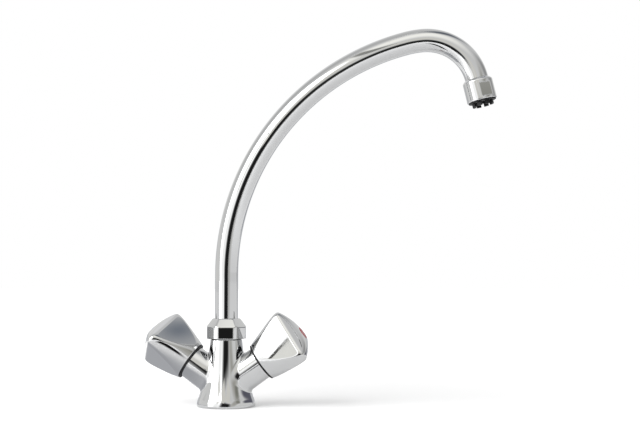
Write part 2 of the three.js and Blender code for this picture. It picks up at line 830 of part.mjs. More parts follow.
function handleOuter() {
  const rings = SKIRT_LEVELS.map((level) => {
    const radius = THREE.MathUtils.lerp(rimR, lobeR, level);
    return lobedRing(radius).map((p) => [p.x, p.y, handleRim + HANDLE_L * level]);
  });
  const border = lobedRing(lobeR);
  for (const share of CROWN_SHARES) {
    rings.push(
      border.map((p) => {
        const x = p.x * share;
        const y = p.y * share;
        return [x, y, handleEnd + crownHeight(x, y)];
      }),
    );
  }
  const count = border.length;
  const positions = rings.flat(2);
  positions.push(0, 0, handleRim, 0, 0, crownTop);
  const low = rings.length * count;
  const index = [];
  for (let i = 0; i < count; i += 1) {
    const next = (i + 1) % count;
    index.push(low, next, i);
    for (let level = 0; level + 1 < rings.length; level += 1) {
      const a = level * count;
      const b = a + count;
      index.push(a + i, a + next, b + next, a + i, b + next, b + i);
    }
    const last = (rings.length - 1) * count;
    index.push(last + i, last + next, low + 1);
  }
  const geometry = new THREE.BufferGeometry();
  geometry.setAttribute("position", new THREE.Float32BufferAttribute(positions, 3));
  geometry.setIndex(index);
  return solid(geometry);
}

function handleShell() {
  const cavityTop = splineTop + SEAT;
  const pocketR = bushR + SEAT;
  const hollowR = bore(flatR - SKIRT_WALL);
  const cavity = turned([
    [0, handleRim - OVERRUN],
    [hollowR, handleRim - OVERRUN],
    [hollowR, cavityTop],
    [pocketR + BOSS_WALL, cavityTop],
    [pocketR + BOSS_WALL, splineLow],
    [0, splineLow],
  ]);
  return handleOuter()
    .subtract(cavity)
    .subtract(rod(bore(pocketR), splineLow - OVERRUN, cavityTop))
    .subtract(rod(SCREW_R + SEAT, splineLow, crownTop))
    .subtract(rod(SCREW_HEAD_R + SEAT, screwSeat - SEAT, crownTop + OVERRUN, MID_SEGMENTS))
    .subtract(rod(INDEX_R + SEAT, indexFloor, crownTop + OVERRUN, MID_SEGMENTS));
}

function handleInsert() {
  const socket = prism(
    splineOutline(splineR + SEAT, splineRootR + SEAT),
    splineLow - OVERRUN,
    splineTop + OVERRUN,
  );
  return rod(bushR, splineLow, splineTop).subtract(socket);
}

function handleScrew() {
  const headTop = screwSeat + SCREW_HEAD_H;
  const slotFloor = screwSeat + SCREW_HEAD_H / 2;
  const head = rod(SCREW_HEAD_R, screwSeat, headTop, MID_SEGMENTS);
  const shank = rod(SCREW_R, screwSeat + SEAT - SCREW_L, screwSeat + SEAT);
  const slot = block(SCREW_HEAD_R, SCREW_SLOT, slotFloor, headTop + OVERRUN);
  const cross = block(SCREW_SLOT, SCREW_HEAD_R, slotFloor, headTop + OVERRUN);
  return head.add(shank).subtract(slot).subtract(cross);
}

// The index button's face follows the crown.
function indexButton() {
  const face = (r) => handleEnd + domeHeight(r);
  return turned(
    [
      [0, indexFloor + SEAT],
      [INDEX_R, indexFloor + SEAT],
      [INDEX_R, face(INDEX_R) - INDEX_EDGE],
      [INDEX_R - INDEX_EDGE, face(INDEX_R - INDEX_EDGE)],
      [INDEX_R / 2, face(INDEX_R / 2)],
      [0, crownTop],
    ],
    MID_SEGMENTS,
  );
}

// ---- assembly -------------------------------------------------------------------------------
const faucet = new THREE.Group();
faucet.add(
  piece("mixer_body", mixerBody(), chrome),
  piece("base_gasket", baseGasket(), rubber),
);

const nut = piece("spout_nut", spoutNut(), chrome);
nut.rotation.z = rad(NUT_TURN);
faucet.add(nut);

const [lowerSeal, upperSeal] = sealHeights();
faucet.add(
  piece("spout_tube", spoutTube(), chrome),
  piece("spout_collar", spoutCollar(), brass),
  piece("spout_glide_ring", glideRing(), whitePlastic),
  piece("spout_foot", spoutFoot(), brass),
  piece("lower_spout_ring", spoutRing(lowerSeal), rubber),
  piece("upper_spout_ring", spoutRing(upperSeal), rubber),
);

// The aerator's own +Z runs down along the tube's end.
const aerator = new THREE.Group();
const outlet = spout.end();
aerator.rotation.y = Math.PI / 2 - outlet.heading;
aerator.position.set(outlet.x, 0, outlet.z);
const aeratorPieces = new THREE.Group();
aeratorPieces.position.z = -AERATOR_GRIP;
aeratorPieces.add(
  piece("aerator_housing", aeratorHousing(), chrome),
  piece("aerator_washer", aeratorWasher(), rubber),
  piece("aerator_insert", aeratorInsert(), blackPlastic),
  piece("aerator_jet_plate", jetPlate(), whitePlastic),
  piece("aerator_screen", aeratorScreen(), steel),
);
aerator.add(aeratorPieces);
faucet.add(aerator);

function valveSide(name, side, lobeTurn, indexMaterial) {
  const arm = new THREE.Group();
  arm.rotation.z = side < 0 ? Math.PI : 0;
  const slope = new THREE.Group();
  slope.position.z = ARM_Z;
  slope.rotation.y = Math.PI / 2 - rad(ARM_RISE);
  arm.add(slope);
  slope.add(
    piece(name + "_valve_bonnet", valveBonnet(), brass),
    piece(name + "_bonnet_ring", bonnetRing(), rubber),
    piece(name + "_disc_seal", discSeal(), rubber),
    piece(name + "_fixed_disc", disc(sealTop + SEAT, 0), ceramic),
    piece(name + "_moving_disc", disc(fixedTop + FACE, Math.PI / 2), ceramic),
    piece(name + "_spindle", spindle(), brass),
    piece(name + "_spindle_ring", spindleRing(), rubber),
    piece(name + "_spindle_clip", spindleClip(), steel),
  );
  const knob = new THREE.Group();
  knob.rotation.z = Math.PI + side * rad(lobeTurn);
  knob.add(
    piece(name + "_handle", handleShell(), chrome),
    piece(name + "_handle_screw", handleScrew(), steel),
    piece(name + "_index_button", indexButton(), indexMaterial),
  );
  slope.add(knob, piece(name + "_handle_insert", handleInsert(), blackPlastic));
  return arm;
}

faucet.add(valveSide("left", -1, LEFT_LOBE, bluePlastic));
faucet.add(valveSide("right", 1, RIGHT_LOBE, redPlastic));

export default faucet;
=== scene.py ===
"""A two handle kitchen faucet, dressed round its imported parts: high swan-neck spout, cast Y body,
three-lobed handles on raised arms. Sizes are written in millimetres and built in metres."""

import json
import math

import bmesh
import bpy
import numpy as np
from mathutils import Matrix, Vector


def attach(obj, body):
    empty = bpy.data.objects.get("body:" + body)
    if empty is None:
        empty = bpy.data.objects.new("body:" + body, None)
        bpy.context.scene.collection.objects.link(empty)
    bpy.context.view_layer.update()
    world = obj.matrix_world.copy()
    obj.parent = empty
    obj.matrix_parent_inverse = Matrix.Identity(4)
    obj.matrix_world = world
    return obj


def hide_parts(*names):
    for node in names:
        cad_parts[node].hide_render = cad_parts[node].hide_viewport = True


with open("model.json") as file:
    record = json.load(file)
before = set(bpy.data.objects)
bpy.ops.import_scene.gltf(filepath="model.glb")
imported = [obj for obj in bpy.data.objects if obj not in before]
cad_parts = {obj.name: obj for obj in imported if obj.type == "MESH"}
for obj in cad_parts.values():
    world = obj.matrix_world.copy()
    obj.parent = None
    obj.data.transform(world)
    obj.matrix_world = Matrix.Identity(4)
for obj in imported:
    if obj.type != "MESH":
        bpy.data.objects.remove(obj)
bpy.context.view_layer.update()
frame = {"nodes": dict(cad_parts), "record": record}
MM = 0.001

# ---- sizes, in millimetres and degrees
# Heights are from the deck. Places along an arm are from the point where the arms' axes meet.
SHARP_EDGE = 0.1
CRISP_EDGE = 0.2
FINE_EDGE = 0.3
EASED_EDGE = 0.4
ROUND_EDGE = 0.5
SOFT_EDGE = 0.6

FOOT_R = 22.8
FOOT_BAND = 3.6
FOOT_EDGE = 1.1
UNDERSIDE_EDGE = 1.2
COLUMN_R = 12.3
COLUMN_TOP = 52.0
FLARE_PULL_R = 15.4
FLARE_PULL_Z = 21.0
FLARE_LEAN = 0.93
NECK_R = 11.4
NECK_TOP = 59.4
BORE_R = 9.6
BORE_FLOOR = 33.4
INLET_R = 4.45
INLET_X = 9.5
INLET_DEPTH = 10.0
STUD_R = 3.4
STUD_Y = 13.5
STUD_DEPTH = 14.0
THREAD_START = 0.9
THREAD_RUNOUT = 2.0
THREAD_DEPTH = 0.36
GASKET_IN = 18.3
GASKET_OUT = 21.7
GASKET_DEPTH = 2.1
GASKET_PLAY = 0.3
ARM_RISE = 35.0
ARM_Z = 15.0
ARM_ROOT_R = 13.7
ARM_END_R = 13.1
ARM_END = 37.0
ARM_HEEL = 4.0
ARM_HEEL_EDGE = 2.0
VALVE_SEAT = 21.0
VALVE_BORE_R = 9.6
VALVE_THREAD_R = 10.7
VALVE_THREAD_LOW = 28.0
RING_POCKET_R = 11.9
RING_POCKET_LOW = 35.1
CASTING_FILLET = 2.4
CASTING_BOX = ((-44, -24, -1), (44, 24, 60.5))
CASTING_CELL = 0.5

RING_SECTION = 1.5
SPOUT_RINGS = (("lower_spout_ring", 39.1), ("upper_spout_ring", 45.1))
SPOUT_RING_R = 8.8
BONNET_RING_AT = 36.05
BONNET_RING_R = 10.7
SPINDLE_RING_AT = 40.88
SPINDLE_RING_R = 3.9
SPINDLE_RING_SECTION = 1.3

NUT_FLATS = 28.2
NUT_LOW = 52.3
NUT_SHOULDER = 61.6
NUT_TOP = 68.3
NUT_TOP_R = 11.0
NUT_CEILING = 63.5
NUT_TURN = -21.0
NUT_BUFFING = 150.0
NUT_CORNER = 2.1
NUT_SHOULDER_EDGE = 0.45
NUT_TOP_EDGE = 0.9
NUT_BORE_EDGE = 0.25
NUT_PLAY = 0.3
NUT_TUBE_PLAY = 0.12
NUT_CELL = 0.36

TUBE_R = 9.0
TUBE_WALL = 1.0
TUBE_SIDES = 96
TUBE_CREASE = 40.0
TUBE_FOOT = 50.0
RISER_TOP = 102.5
BENDS = ((184.0, 76.5), (75.0, 9.5), (40.0, 80.5))
BEND_STEP = 1.5
TAIL = 7.2

AERATOR_R = 11.6
AERATOR_H = 17.5
AERATOR_GRIP = 7.0
AERATOR_FLATS = 21.2
AERATOR_TURN = -26.0
AERATOR_FLATS_LOW = 4.8
AERATOR_FLATS_HIGH = 15.3
AERATOR_SHOULDER = 2.0
DIAGONAL = 0.7071
AERATOR_LIP_EDGE = 0.8
SOCKET_PLAY = 0.25
SOCKET_DEPTH = 7.3
SLEEVE_BOX = ((-12, -12, -0.5), (12, 12, 18))
SLEEVE_CELL = 0.4
INSERT_R = 9.7
INSERT_PLAY = 0.2
INSERT_LIP_R = 10.7
INSERT_LIP_LOW = 0.1
INSERT_LIP_HIGH = 0.8
INSERT_LIP_RISE = 0.4
INSERT_EDGE = 0.35
INSERT_WALL = 1.6
INSERT_TOP = 9.4
INSERT_DROP = 3.8
TOOTH_R = 8.3
TOOTH_GAP = 2.6
TOOTH_ROOT = 0.3
TOOTH_COLLAR = 1.2
TEETH = 8
TEETH_TURN = 20.0
SCREEN_PLACE = 13.4
SCREEN_R = 7.4
SCREEN_PITCH = 1.15
SCREEN_WIRE = 0.3
SCREEN_WIRES = 13

HANDLE_RIM = 35.0
HANDLE_L = 31.0
HANDLE_RIM_R = 15.95
HANDLE_LOBE_R = 26.3
HANDLE_FLAT = 15.7
HANDLE_CROWN = 7.9
CROWN_PITCH = 1.02
CROWN_BLEND = 3.6
HANDLE_EDGE = 1.3
LOBE_TIP = 3.8
HANDLE_CELL = 0.48
SKIRT_WALL = 1.8
# A black ring tucked into each skirt's mouth draws the dark line along the rim: partly the skirt's
# dark inside, partly painted shade in the gap under the skirt.
SKIRT_DARK_RING_R = 15.25
SKIRT_DARK_RING_IN = 13.45
SKIRT_DARK_RING_DROP = 1.25
SKIRT_DARK_RING_SEAT = 0.05
SKIRT_DARK_RING_TUCK = 1.2
SKIRT_DARK_RING_WALL = 0.5
SPLINE_LOW = 51.7
SPLINE_TOP = 59.9
BUSH_R = 6.4
BUSH_PLAY = 0.3
BOSS_R = 8.8
SCREW_R = 2.1
SCREW_HEAD_R = 3.7
SCREW_SEAT = 61.0
INDEX_R = 5.15
INDEX_FLOOR = 70.1
INDEX_PLAY = 0.3
INDEX_MOUTH_EDGE = 0.25
INDEX_EDGE = ((0.0, 0.75), (0.07, 0.45))
INDEX_FACE = (4.9, 4.2, 3.4, 2.4, 1.2, 0.0)
LEFT_LOBE = -30.0
RIGHT_LOBE = 12.0


# ---- material groups and finishes
def shader_group(name, inputs, outputs):
    """An empty shader group with named, preset inputs and its outputs."""
    group = bpy.data.node_groups.new(name, "ShaderNodeTree")
    for label, value in inputs:
        socket = group.interface.new_socket(label, in_out="INPUT", socket_type="NodeSocketFloat")
        socket.default_value = value
    for label in outputs:
        group.interface.new_socket(label, in_out="OUTPUT", socket_type="NodeSocketFloat")
    source = group.nodes.new("NodeGroupInput")
    sink = group.nodes.new("NodeGroupOutput")
    return group, source, sink


def noise(tree, vector, scale, detail, roughness=0.5):
    """A noise value, its scale a number or a socket."""
    node = tree.nodes.new("ShaderNodeTexNoise")
    node.inputs["Detail"].default_value = detail
    node.inputs["Roughness"].default_value = roughness
    tree.links.new(vector, node.inputs["Vector"])
    if isinstance(scale, (int, float)):
        node.inputs["Scale"].default_value = scale
    else:
        tree.links.new(scale, node.inputs["Scale"])
    return node.outputs["Fac"]


def spread(tree, value, low, high, to_low, to_high, kind="LINEAR"):
    """A value carried from one span to another, clamped at its ends."""
    node = tree.nodes.new("ShaderNodeMapRange")
    node.interpolation_type = kind
    tree.links.new(value, node.inputs["Value"])
    labels = ("From Min", "From Max", "To Min", "To Max")
    for label, bound in zip(labels, (low, high, to_low, to_high)):
        if isinstance(bound, (int, float)):
            node.inputs[label].default_value = bound
        else:
            tree.links.new(bound, node.inputs[label])
    return node.outputs["Result"]


def sums(tree, operation, a, b):
    """One step of arithmetic on two numbers or sockets."""
    node = tree.nodes.new("ShaderNodeMath")
    node.operation = operation
    for socket, value in zip(node.inputs, (a, b)):
        if isinstance(value, (int, float)):
            socket.default_value = value
        else:
            tree.links.new(value, socket)
    return node.outputs["Value"]


def object_place(tree):
    """The place of a shaded point in its object."""
    return tree.nodes.new("ShaderNodeTexCoord").outputs["Object"]


def handling_marks():
    """Faint wiped haze and dried water spots: a roughness and a mask of the spots."""
    group, source, sink = shader_group(
        "Handling Marks",
        (("Roughness", 0.04), ("Haze", 0.03), ("Size", 40.0)),
        ("Roughness", "Spots"),
    )
    place = object_place(group)
    wiped = noise(group, place, source.outputs["Size"], 4.0, 0.6)
    haze = spread(group, wiped, 0.42, 0.7, 0.0, 1.0)
    haze = sums(group, "MULTIPLY", haze, source.outputs["Haze"])
    cells = group.nodes.new("ShaderNodeTexVoronoi")
    cells.inputs["Scale"].default_value = 210.0
    group.links.new(place, cells.inputs["Vector"])
    spots = spread(group, cells.outputs["Distance"], 0.05, 0.16, 1.0, 0.0)
    rare = spread(group, noise(group, place, 90.0, 1.0), 0.62, 0.7, 0.0, 1.0)
    spots = sums(group, "MULTIPLY", spots, rare)
    rough = sums(group, "ADD", source.outputs["Roughness"], haze)
    rough = sums(group, "ADD", rough, sums(group, "MULTIPLY", spots, 0.05))
    group.links.new(rough, sink.inputs["Roughness"])
    group.links.new(spots, sink.inputs["Spots"])
    return group


def plating_swell():
    """The slow swell that hand polishing leaves under plating, with a trace of orange peel."""
    sizes = (("Swell", 1.0), ("Peel", 1.0))
    group, source, sink = shader_group("Plating Swell", sizes, ("Height",))
    place = object_place(group)
    swell = sums(group, "MULTIPLY", noise(group, place, 55.0, 1.0), source.outputs["Swell"])
    peel = sums(group, "MULTIPLY", noise(group, place, 700.0, 1.0), source.outputs["Peel"])
    height = sums(group, "ADD", swell, sums(group, "MULTIPLY", peel, 0.03))
    group.links.new(height, sink.inputs["Height"])
    return group


def moulded_grain():
    """Fine mould grain with slow tone variation for rubber and plastics."""
    group, source, sink = shader_group("Moulded Grain", (("Grain", 900.0),), ("Height", "Tone"))
    place = object_place(group)
    group.links.new(noise(group, place, source.outputs["Grain"], 3.0, 0.6), sink.inputs["Height"])
    group.links.new(noise(group, place, 60.0, 3.0), sink.inputs["Tone"])
    return group


def turning_marks():
    """Tool rings and a stained tone on turned metal."""
    group, source, sink = shader_group("Turning Marks", (("Pitch", 900.0),), ("Height", "Tone"))
    place = object_place(group)
    wave = group.nodes.new("ShaderNodeTexWave")
    wave.wave_type = "BANDS"
    wave.bands_direction = "Z"
    wave.inputs["Distortion"].default_value = 0.4
    group.links.new(place, wave.inputs["Vector"])
    group.links.new(source.outputs["Pitch"], wave.inputs["Scale"])
    group.links.new(wave.outputs["Fac"], sink.inputs["Height"])
    group.links.new(noise(group, place, 130.0, 4.0, 0.65), sink.inputs["Tone"])
    return group


HANDLING = handling_marks()
SWELL = plating_swell()
GRAIN = moulded_grain()
TURNED = turning_marks()


def placed(tree, group, **values):
    """A shared group placed in a material with its own values."""
    node = tree.nodes.new("ShaderNodeGroup")
    node.node_tree = group
    for label, value in values.items():
        node.inputs[label.replace("_", " ")].default_value = value
    return node


def surface(name, metallic, roughness, specular=0.5):
    """A new material, its tree and its shader, with the constants set on the shader."""
    material = bpy.data.materials.new(name)
    material.use_nodes = True
    tree = material.node_tree
    shader = tree.nodes["Principled BSDF"]
    shader.inputs["Metallic"].default_value = metallic
    shader.inputs["Roughness"].default_value = roughness
    shader.inputs["Specular IOR Level"].default_value = specular
    return material, tree, shader


def tones(tree, shader, value, dark, light, low=0.3, high=0.7):
    """Base Color between two tones by a varying value."""
    ramp = tree.nodes.new("ShaderNodeValToRGB")
    ramp.color_ramp.elements[0].position = low
    ramp.color_ramp.elements[0].color = (*dark, 1.0)
    ramp.color_ramp.elements[1].position = high
    ramp.color_ramp.elements[1].color = (*light, 1.0)
    tree.links.new(value, ramp.inputs["Fac"])
    tree.links.new(ramp.outputs["Color"], shader.inputs["Base Color"])


def relief(tree, shader, height, depth, strength=1.0):
    """A bump of a depth in metres."""
    bump = tree.nodes.new("ShaderNodeBump")
    bump.inputs["Strength"].default_value = strength
    bump.inputs["Distance"].default_value = depth
    tree.links.new(height, bump.inputs["Height"])
    tree.links.new(bump.outputs["Normal"], shader.inputs["Normal"])


def chrome_plate(name):
    """Polished plate: a clean tone, dulled where water spots dried, on a faintly uneven skin."""
    material, tree, shader = surface(name, 1.0, 0.05)
    marks = placed(tree, HANDLING, Roughness=0.015, Haze=0.025, Size=34.0)
    tree.links.new(marks.outputs["Roughness"], shader.inputs["Roughness"])
    clean, dull = (0.52, 0.524, 0.528), (0.46, 0.465, 0.47)
    tones(tree, shader, marks.outputs["Spots"], clean, dull, 0.0, 1.0)
    skin = placed(tree, SWELL, Swell=1.0, Peel=0.3)
    relief(tree, shader, skin.outputs["Height"], 0.00001)
    return material


def turned_metal(name, dark, light, roughness, pitch):
    """Lathe-turned metal, duller where it has stained."""
    material, tree, shader = surface(name, 1.0, roughness)
    cut = placed(tree, TURNED, Pitch=pitch)
    tones(tree, shader, cut.outputs["Tone"], dark, light)
    rough = spread(tree, cut.outputs["Tone"], 0.3, 0.7, roughness + 0.12, roughness - 0.05)
    tree.links.new(rough, shader.inputs["Roughness"])
    relief(tree, shader, cut.outputs["Height"], 0.00004, 0.6)
    return material


def moulded(name, dark, light, roughness, grain=900.0, depth=0.00004, specular=0.5):
    """Rubber, plastic or ceramic with the grain of its mould."""
    material, tree, shader = surface(name, 0.0, roughness, specular)
    skin = placed(tree, GRAIN, Grain=grain)
    tones(tree, shader, skin.outputs["Tone"], dark, light)
    rough = spread(tree, skin.outputs["Tone"], 0.3, 0.7, roughness + 0.06, roughness - 0.04)
    tree.links.new(rough, shader.inputs["Roughness"])
    relief(tree, shader, skin.outputs["Height"], depth, 0.5)
    return material


finishes = {
    "chrome": chrome_plate("polished_chrome"),
    "brass": turned_metal("turned_brass", (0.50, 0.35, 0.13), (0.72, 0.54, 0.24), 0.3, 900.0),
    "steel": turned_metal("stainless_steel", (0.40, 0.40, 0.41), (0.55, 0.55, 0.56), 0.28, 700.0),
    "rubber": moulded("seal_rubber", (0.010, 0.010, 0.011), (0.022, 0.022, 0.023), 0.62),
    "black_plastic": moulded(
        "black_acetal", (0.004, 0.004, 0.005), (0.01, 0.01, 0.011), 0.5, 1300.0, specular=0.2
    ),
    "white_plastic": moulded("white_acetal", (0.66, 0.65, 0.61), (0.78, 0.77, 0.74), 0.4),
    "ceramic": moulded(
        "alumina_ceramic", (0.78, 0.75, 0.68), (0.86, 0.84, 0.79), 0.22, 1500.0, 0.00001
    ),
    "red_plastic": moulded(
        "red_index", (0.30, 0.008, 0.012), (0.42, 0.014, 0.02), 0.3, 700.0, 0.00002, specular=0.3
    ),
    "blue_plastic": moulded(
        "blue_index", (0.008, 0.05, 0.30), (0.014, 0.075, 0.42), 0.28, 700.0, 0.00002
    ),
}
slot_of = {row["node"]: row["material_slot"] for row in frame["record"]["subparts"]}
for node, thing in frame["nodes"].items():
    thing.data.materials.clear()
    thing.data.materials.append(finishes[slot_of[node]])


# ---- rounded solids from distances
def over(a, b, rounding):
    """The larger of two distances, rounded where they meet: an edge that both solids share."""
    mix = np.clip(0.5 + 0.5 * (a - b) / rounding, 0, 1)
    return b + (a - b) * mix + rounding * mix * (1 - mix)


def joined(a, b, rounding):
    """The union of two solids, with a fillet between them."""
    return -over(-a, -b, rounding)


def cut(a, b, rounding):
    """The first solid less the second, its edges rounded."""
    return over(a, -b, rounding)


def slopes(distance, points, step=0.002):
    """The field's gradient at each point."""
    columns = []
    for axis in range(3):
        ahead = points.copy()
        behind = points.copy()
        ahead[:, axis] += step
        behind[:, axis] -= step
        columns.append((distance(*ahead.T) - distance(*behind.T)) / (2 * step))
    return np.stack(columns, 1)


def skinned(distance, low, high, pitch):
    """Points, quads and normals of the surface where the distance is nought, one point a cell."""
    axes = [np.arange(a - pitch, b + 2 * pitch, pitch) for a, b in zip(low, high)]
    x, y, z = np.meshgrid(*axes, indexing="ij", sparse=True)
    field = np.broadcast_to(distance(x, y, z), [len(a) for a in axes])
    inside = field < 0
    corners = [
        inside[i : i - 1 or None, j : j - 1 or None, k : k - 1 or None]
        for i in (0, 1)
        for j in (0, 1)
        for k in (0, 1)
    ]
    count = np.sum(corners, 0, dtype=np.int8)
    cells = np.argwhere((count > 0) & (count < 8))
    number = np.full(count.shape, -1)
    number[tuple(cells.T)] = np.arange(len(cells))
    total = np.zeros((len(cells), 3))
    hits = np.zeros(len(cells))
    steps = np.eye(3, dtype=int)
    for axis in range(3):
        for shift in [(0, 0), (0, 1), (1, 0), (1, 1)]:
            start = cells + np.insert(shift, axis, 0)
            a = field[tuple(start.T)]
            b = field[tuple((start + steps[axis]).T)]
            crossing = (a < 0) != (b < 0)
            share = np.where(crossing, a / np.where(a == b, 1, a - b), 0)
            total += np.where(crossing[:, None], start + share[:, None] * steps[axis], 0)
            hits += crossing
    points = total / hits[:, None] * pitch + np.array([a[0] for a in axes])
    quads = []
    for axis in range(3):
        u, v = steps[(axis + 1) % 3], steps[(axis + 2) % 3]
        near = inside[tuple(slice(0, -1) if i == axis else slice(1, -1) for i in range(3))]
        far = inside[tuple(slice(1, None) if i == axis else slice(1, -1) for i in range(3))]
        for out, flip in ((near & ~far, False), (~near & far, True)):
            at = np.argwhere(out) + (u + v)
            ring = [number[tuple((at - s).T)] for s in (u + v, v, 0 * u, u)]
            quads.append(np.stack(ring[::-1] if flip else ring, 1))
    quads = np.concatenate(quads)
    for _ in range(4):
        slope = slopes(distance, points)
        gap = distance(*points.T)
        move = gap[:, None] * slope / np.maximum((slope**2).sum(1), 1e-6)[:, None]
        size = np.linalg.norm(move, axis=1)
        points -= move * np.minimum(1, pitch / np.maximum(size, 1e-9))[:, None]
    normals = slopes(distance, points)
    return points, quads, normals / np.linalg.norm(normals, axis=1)[:, None]


def linked(name, data):
    """A new object of some data, in the scene."""
    thing = bpy.data.objects.new(name, data)
    bpy.context.scene.collection.objects.link(thing)
    return thing


def piece_of(name, points, faces, place=Matrix.Identity(4), normals=None):
    """A mesh object at the origin, its place in its mesh, smooth, from millimetres."""
    turn = np.array(place.to_3x3())
    moved = (points @ turn.T + np.array(place.translation)) * MM
    mesh = bpy.data.meshes.new(name)
    mesh.from_pydata(moved.tolist(), [], faces.tolist() if hasattr(faces, "tolist") else faces)
    mesh.shade_smooth()
    if normals is not None:
        mesh.normals_split_custom_set_from_vertices((normals @ turn.T).tolist())
    mesh.update()
    return linked(name, mesh)


def dressed(thing, body, slot, *nodes):
    """A finished piece takes its finish, rides its body and stands for its nodes."""
    thing.data.materials.clear()
    thing.data.materials.append(finishes[slot])
    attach(thing, body)
    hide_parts(*nodes)


def arm_place(side, roll=0.0):
    """From along-the-arm millimetres to the faucet's own."""
    turn = Matrix.Rotation(math.pi if side < 0 else 0.0, 4, "Z")
    slope = Matrix.Rotation(math.radians(90 - ARM_RISE), 4, "Y")
    return turn @ Matrix.Translation((0, 0, ARM_Z)) @ slope @ Matrix.Rotation(roll, 4, "Z")


# ---- body
def flare_radius(z):
    """The concave flare from the foot's band up to the column's shoulder."""
    bend = FOOT_BAND - 2 * FLARE_PULL_Z + COLUMN_TOP
    rise = 2 * (FLARE_PULL_Z - FOOT_BAND)
    height = np.clip(z, FOOT_BAND, COLUMN_TOP)
    t = (np.sqrt(rise**2 + 4 * bend * (height - FOOT_BAND)) - rise) / (2 * bend)
    curve = (1 - t) ** 2 * FOOT_R + 2 * t * (1 - t) * FLARE_PULL_R + t * t * COLUMN_R
    splay = (FOOT_R - FLARE_PULL_R) / (FLARE_PULL_Z - FOOT_BAND)
    return curve + splay * np.maximum(FOOT_BAND - z, 0)


def body_distance(x, y, z):
    """The casting: foot, column and arms, less the valve bores, spout bore, inlets and groove."""
    r = np.hypot(x, y)
    solid = over(FLARE_LEAN * (r - flare_radius(z)), r - FOOT_R, FOOT_EDGE)
    solid = over(solid, z - COLUMN_TOP, SOFT_EDGE)
    rise = math.radians(ARM_RISE)
    ends = []
    for side in (-1, 1):
        along = side * x * math.cos(rise) + (z - ARM_Z) * math.sin(rise)
        across = (z - ARM_Z) * math.cos(rise) - side * x * math.sin(rise)
        out = np.hypot(across, y)
        taper = ARM_ROOT_R + (ARM_END_R - ARM_ROOT_R) * along / ARM_END
        arm = over(out - taper, along - ARM_END, ROUND_EDGE)
        arm = over(arm, -along - ARM_HEEL, ARM_HEEL_EDGE)
        solid = joined(solid, arm, CASTING_FILLET)
        ends.append((along, out))
    solid = joined(solid, over(r - NECK_R, z - NECK_TOP, ROUND_EDGE), FINE_EDGE)
    for along, out in ends:
        room = over(out - VALVE_BORE_R, VALVE_SEAT - along, CRISP_EDGE)
        for radius, start in ((VALVE_THREAD_R, VALVE_THREAD_LOW), (RING_POCKET_R, RING_POCKET_LOW)):
            room = joined(room, over(out - radius, start - along, CRISP_EDGE), CRISP_EDGE)
        solid = cut(solid, room, FINE_EDGE)
    solid = cut(solid, over(r - BORE_R, BORE_FLOOR - z, CRISP_EDGE), EASED_EDGE)
    solid = over(solid, -z, UNDERSIDE_EDGE)
    for hole_x, hole_y, radius, depth in (
        (-INLET_X, 0.0, INLET_R, INLET_DEPTH),
        (INLET_X, 0.0, INLET_R, INLET_DEPTH),
        (0.0, STUD_Y, STUD_R, STUD_DEPTH),
    ):
        hole = over(np.hypot(x - hole_x, y - hole_y) - radius, z - depth, CRISP_EDGE)
        solid = cut(solid, hole, EASED_EDGE)
    groove = over(over(r - GASKET_OUT, GASKET_IN - r, CRISP_EDGE), z - GASKET_DEPTH, CRISP_EDGE)
    return cut(solid, groove, CRISP_EDGE)


def nut_distance(x, y, z):
    """The spout nut: six buffed flats, a six-sided slope above them, and its two bores."""
    r = np.hypot(x, y)
    top_flats = NUT_TOP_R * math.cos(math.pi / 6)
    pitch = math.atan2(NUT_FLATS / 2 - top_flats, NUT_TOP - NUT_SHOULDER)
    shape = slope = r - NUT_FLATS
    for i in range(6):
        angle = math.radians(60 * i + NUT_TURN)
        out = x * math.cos(angle) + y * math.sin(angle)
        across = y * math.cos(angle) - x * math.sin(angle)
        flat = out - NUT_FLATS / 2 + across**2 / NUT_BUFFING
        shape = over(shape, flat, NUT_CORNER)
        above = flat * math.cos(pitch) + (z - NUT_SHOULDER) * math.sin(pitch)
        slope = over(slope, above, SOFT_EDGE)
    shape = over(shape, slope, NUT_SHOULDER_EDGE)
    shape = over(shape, z - NUT_TOP, NUT_TOP_EDGE)
    shape = over(shape, NUT_LOW - z, SOFT_EDGE)
    shape = cut(shape, over(r - NECK_R - NUT_PLAY, z - NUT_CEILING, CRISP_EDGE), FINE_EDGE)
    return cut(shape, r - TUBE_R - NUT_TUBE_PLAY, NUT_BORE_EDGE)


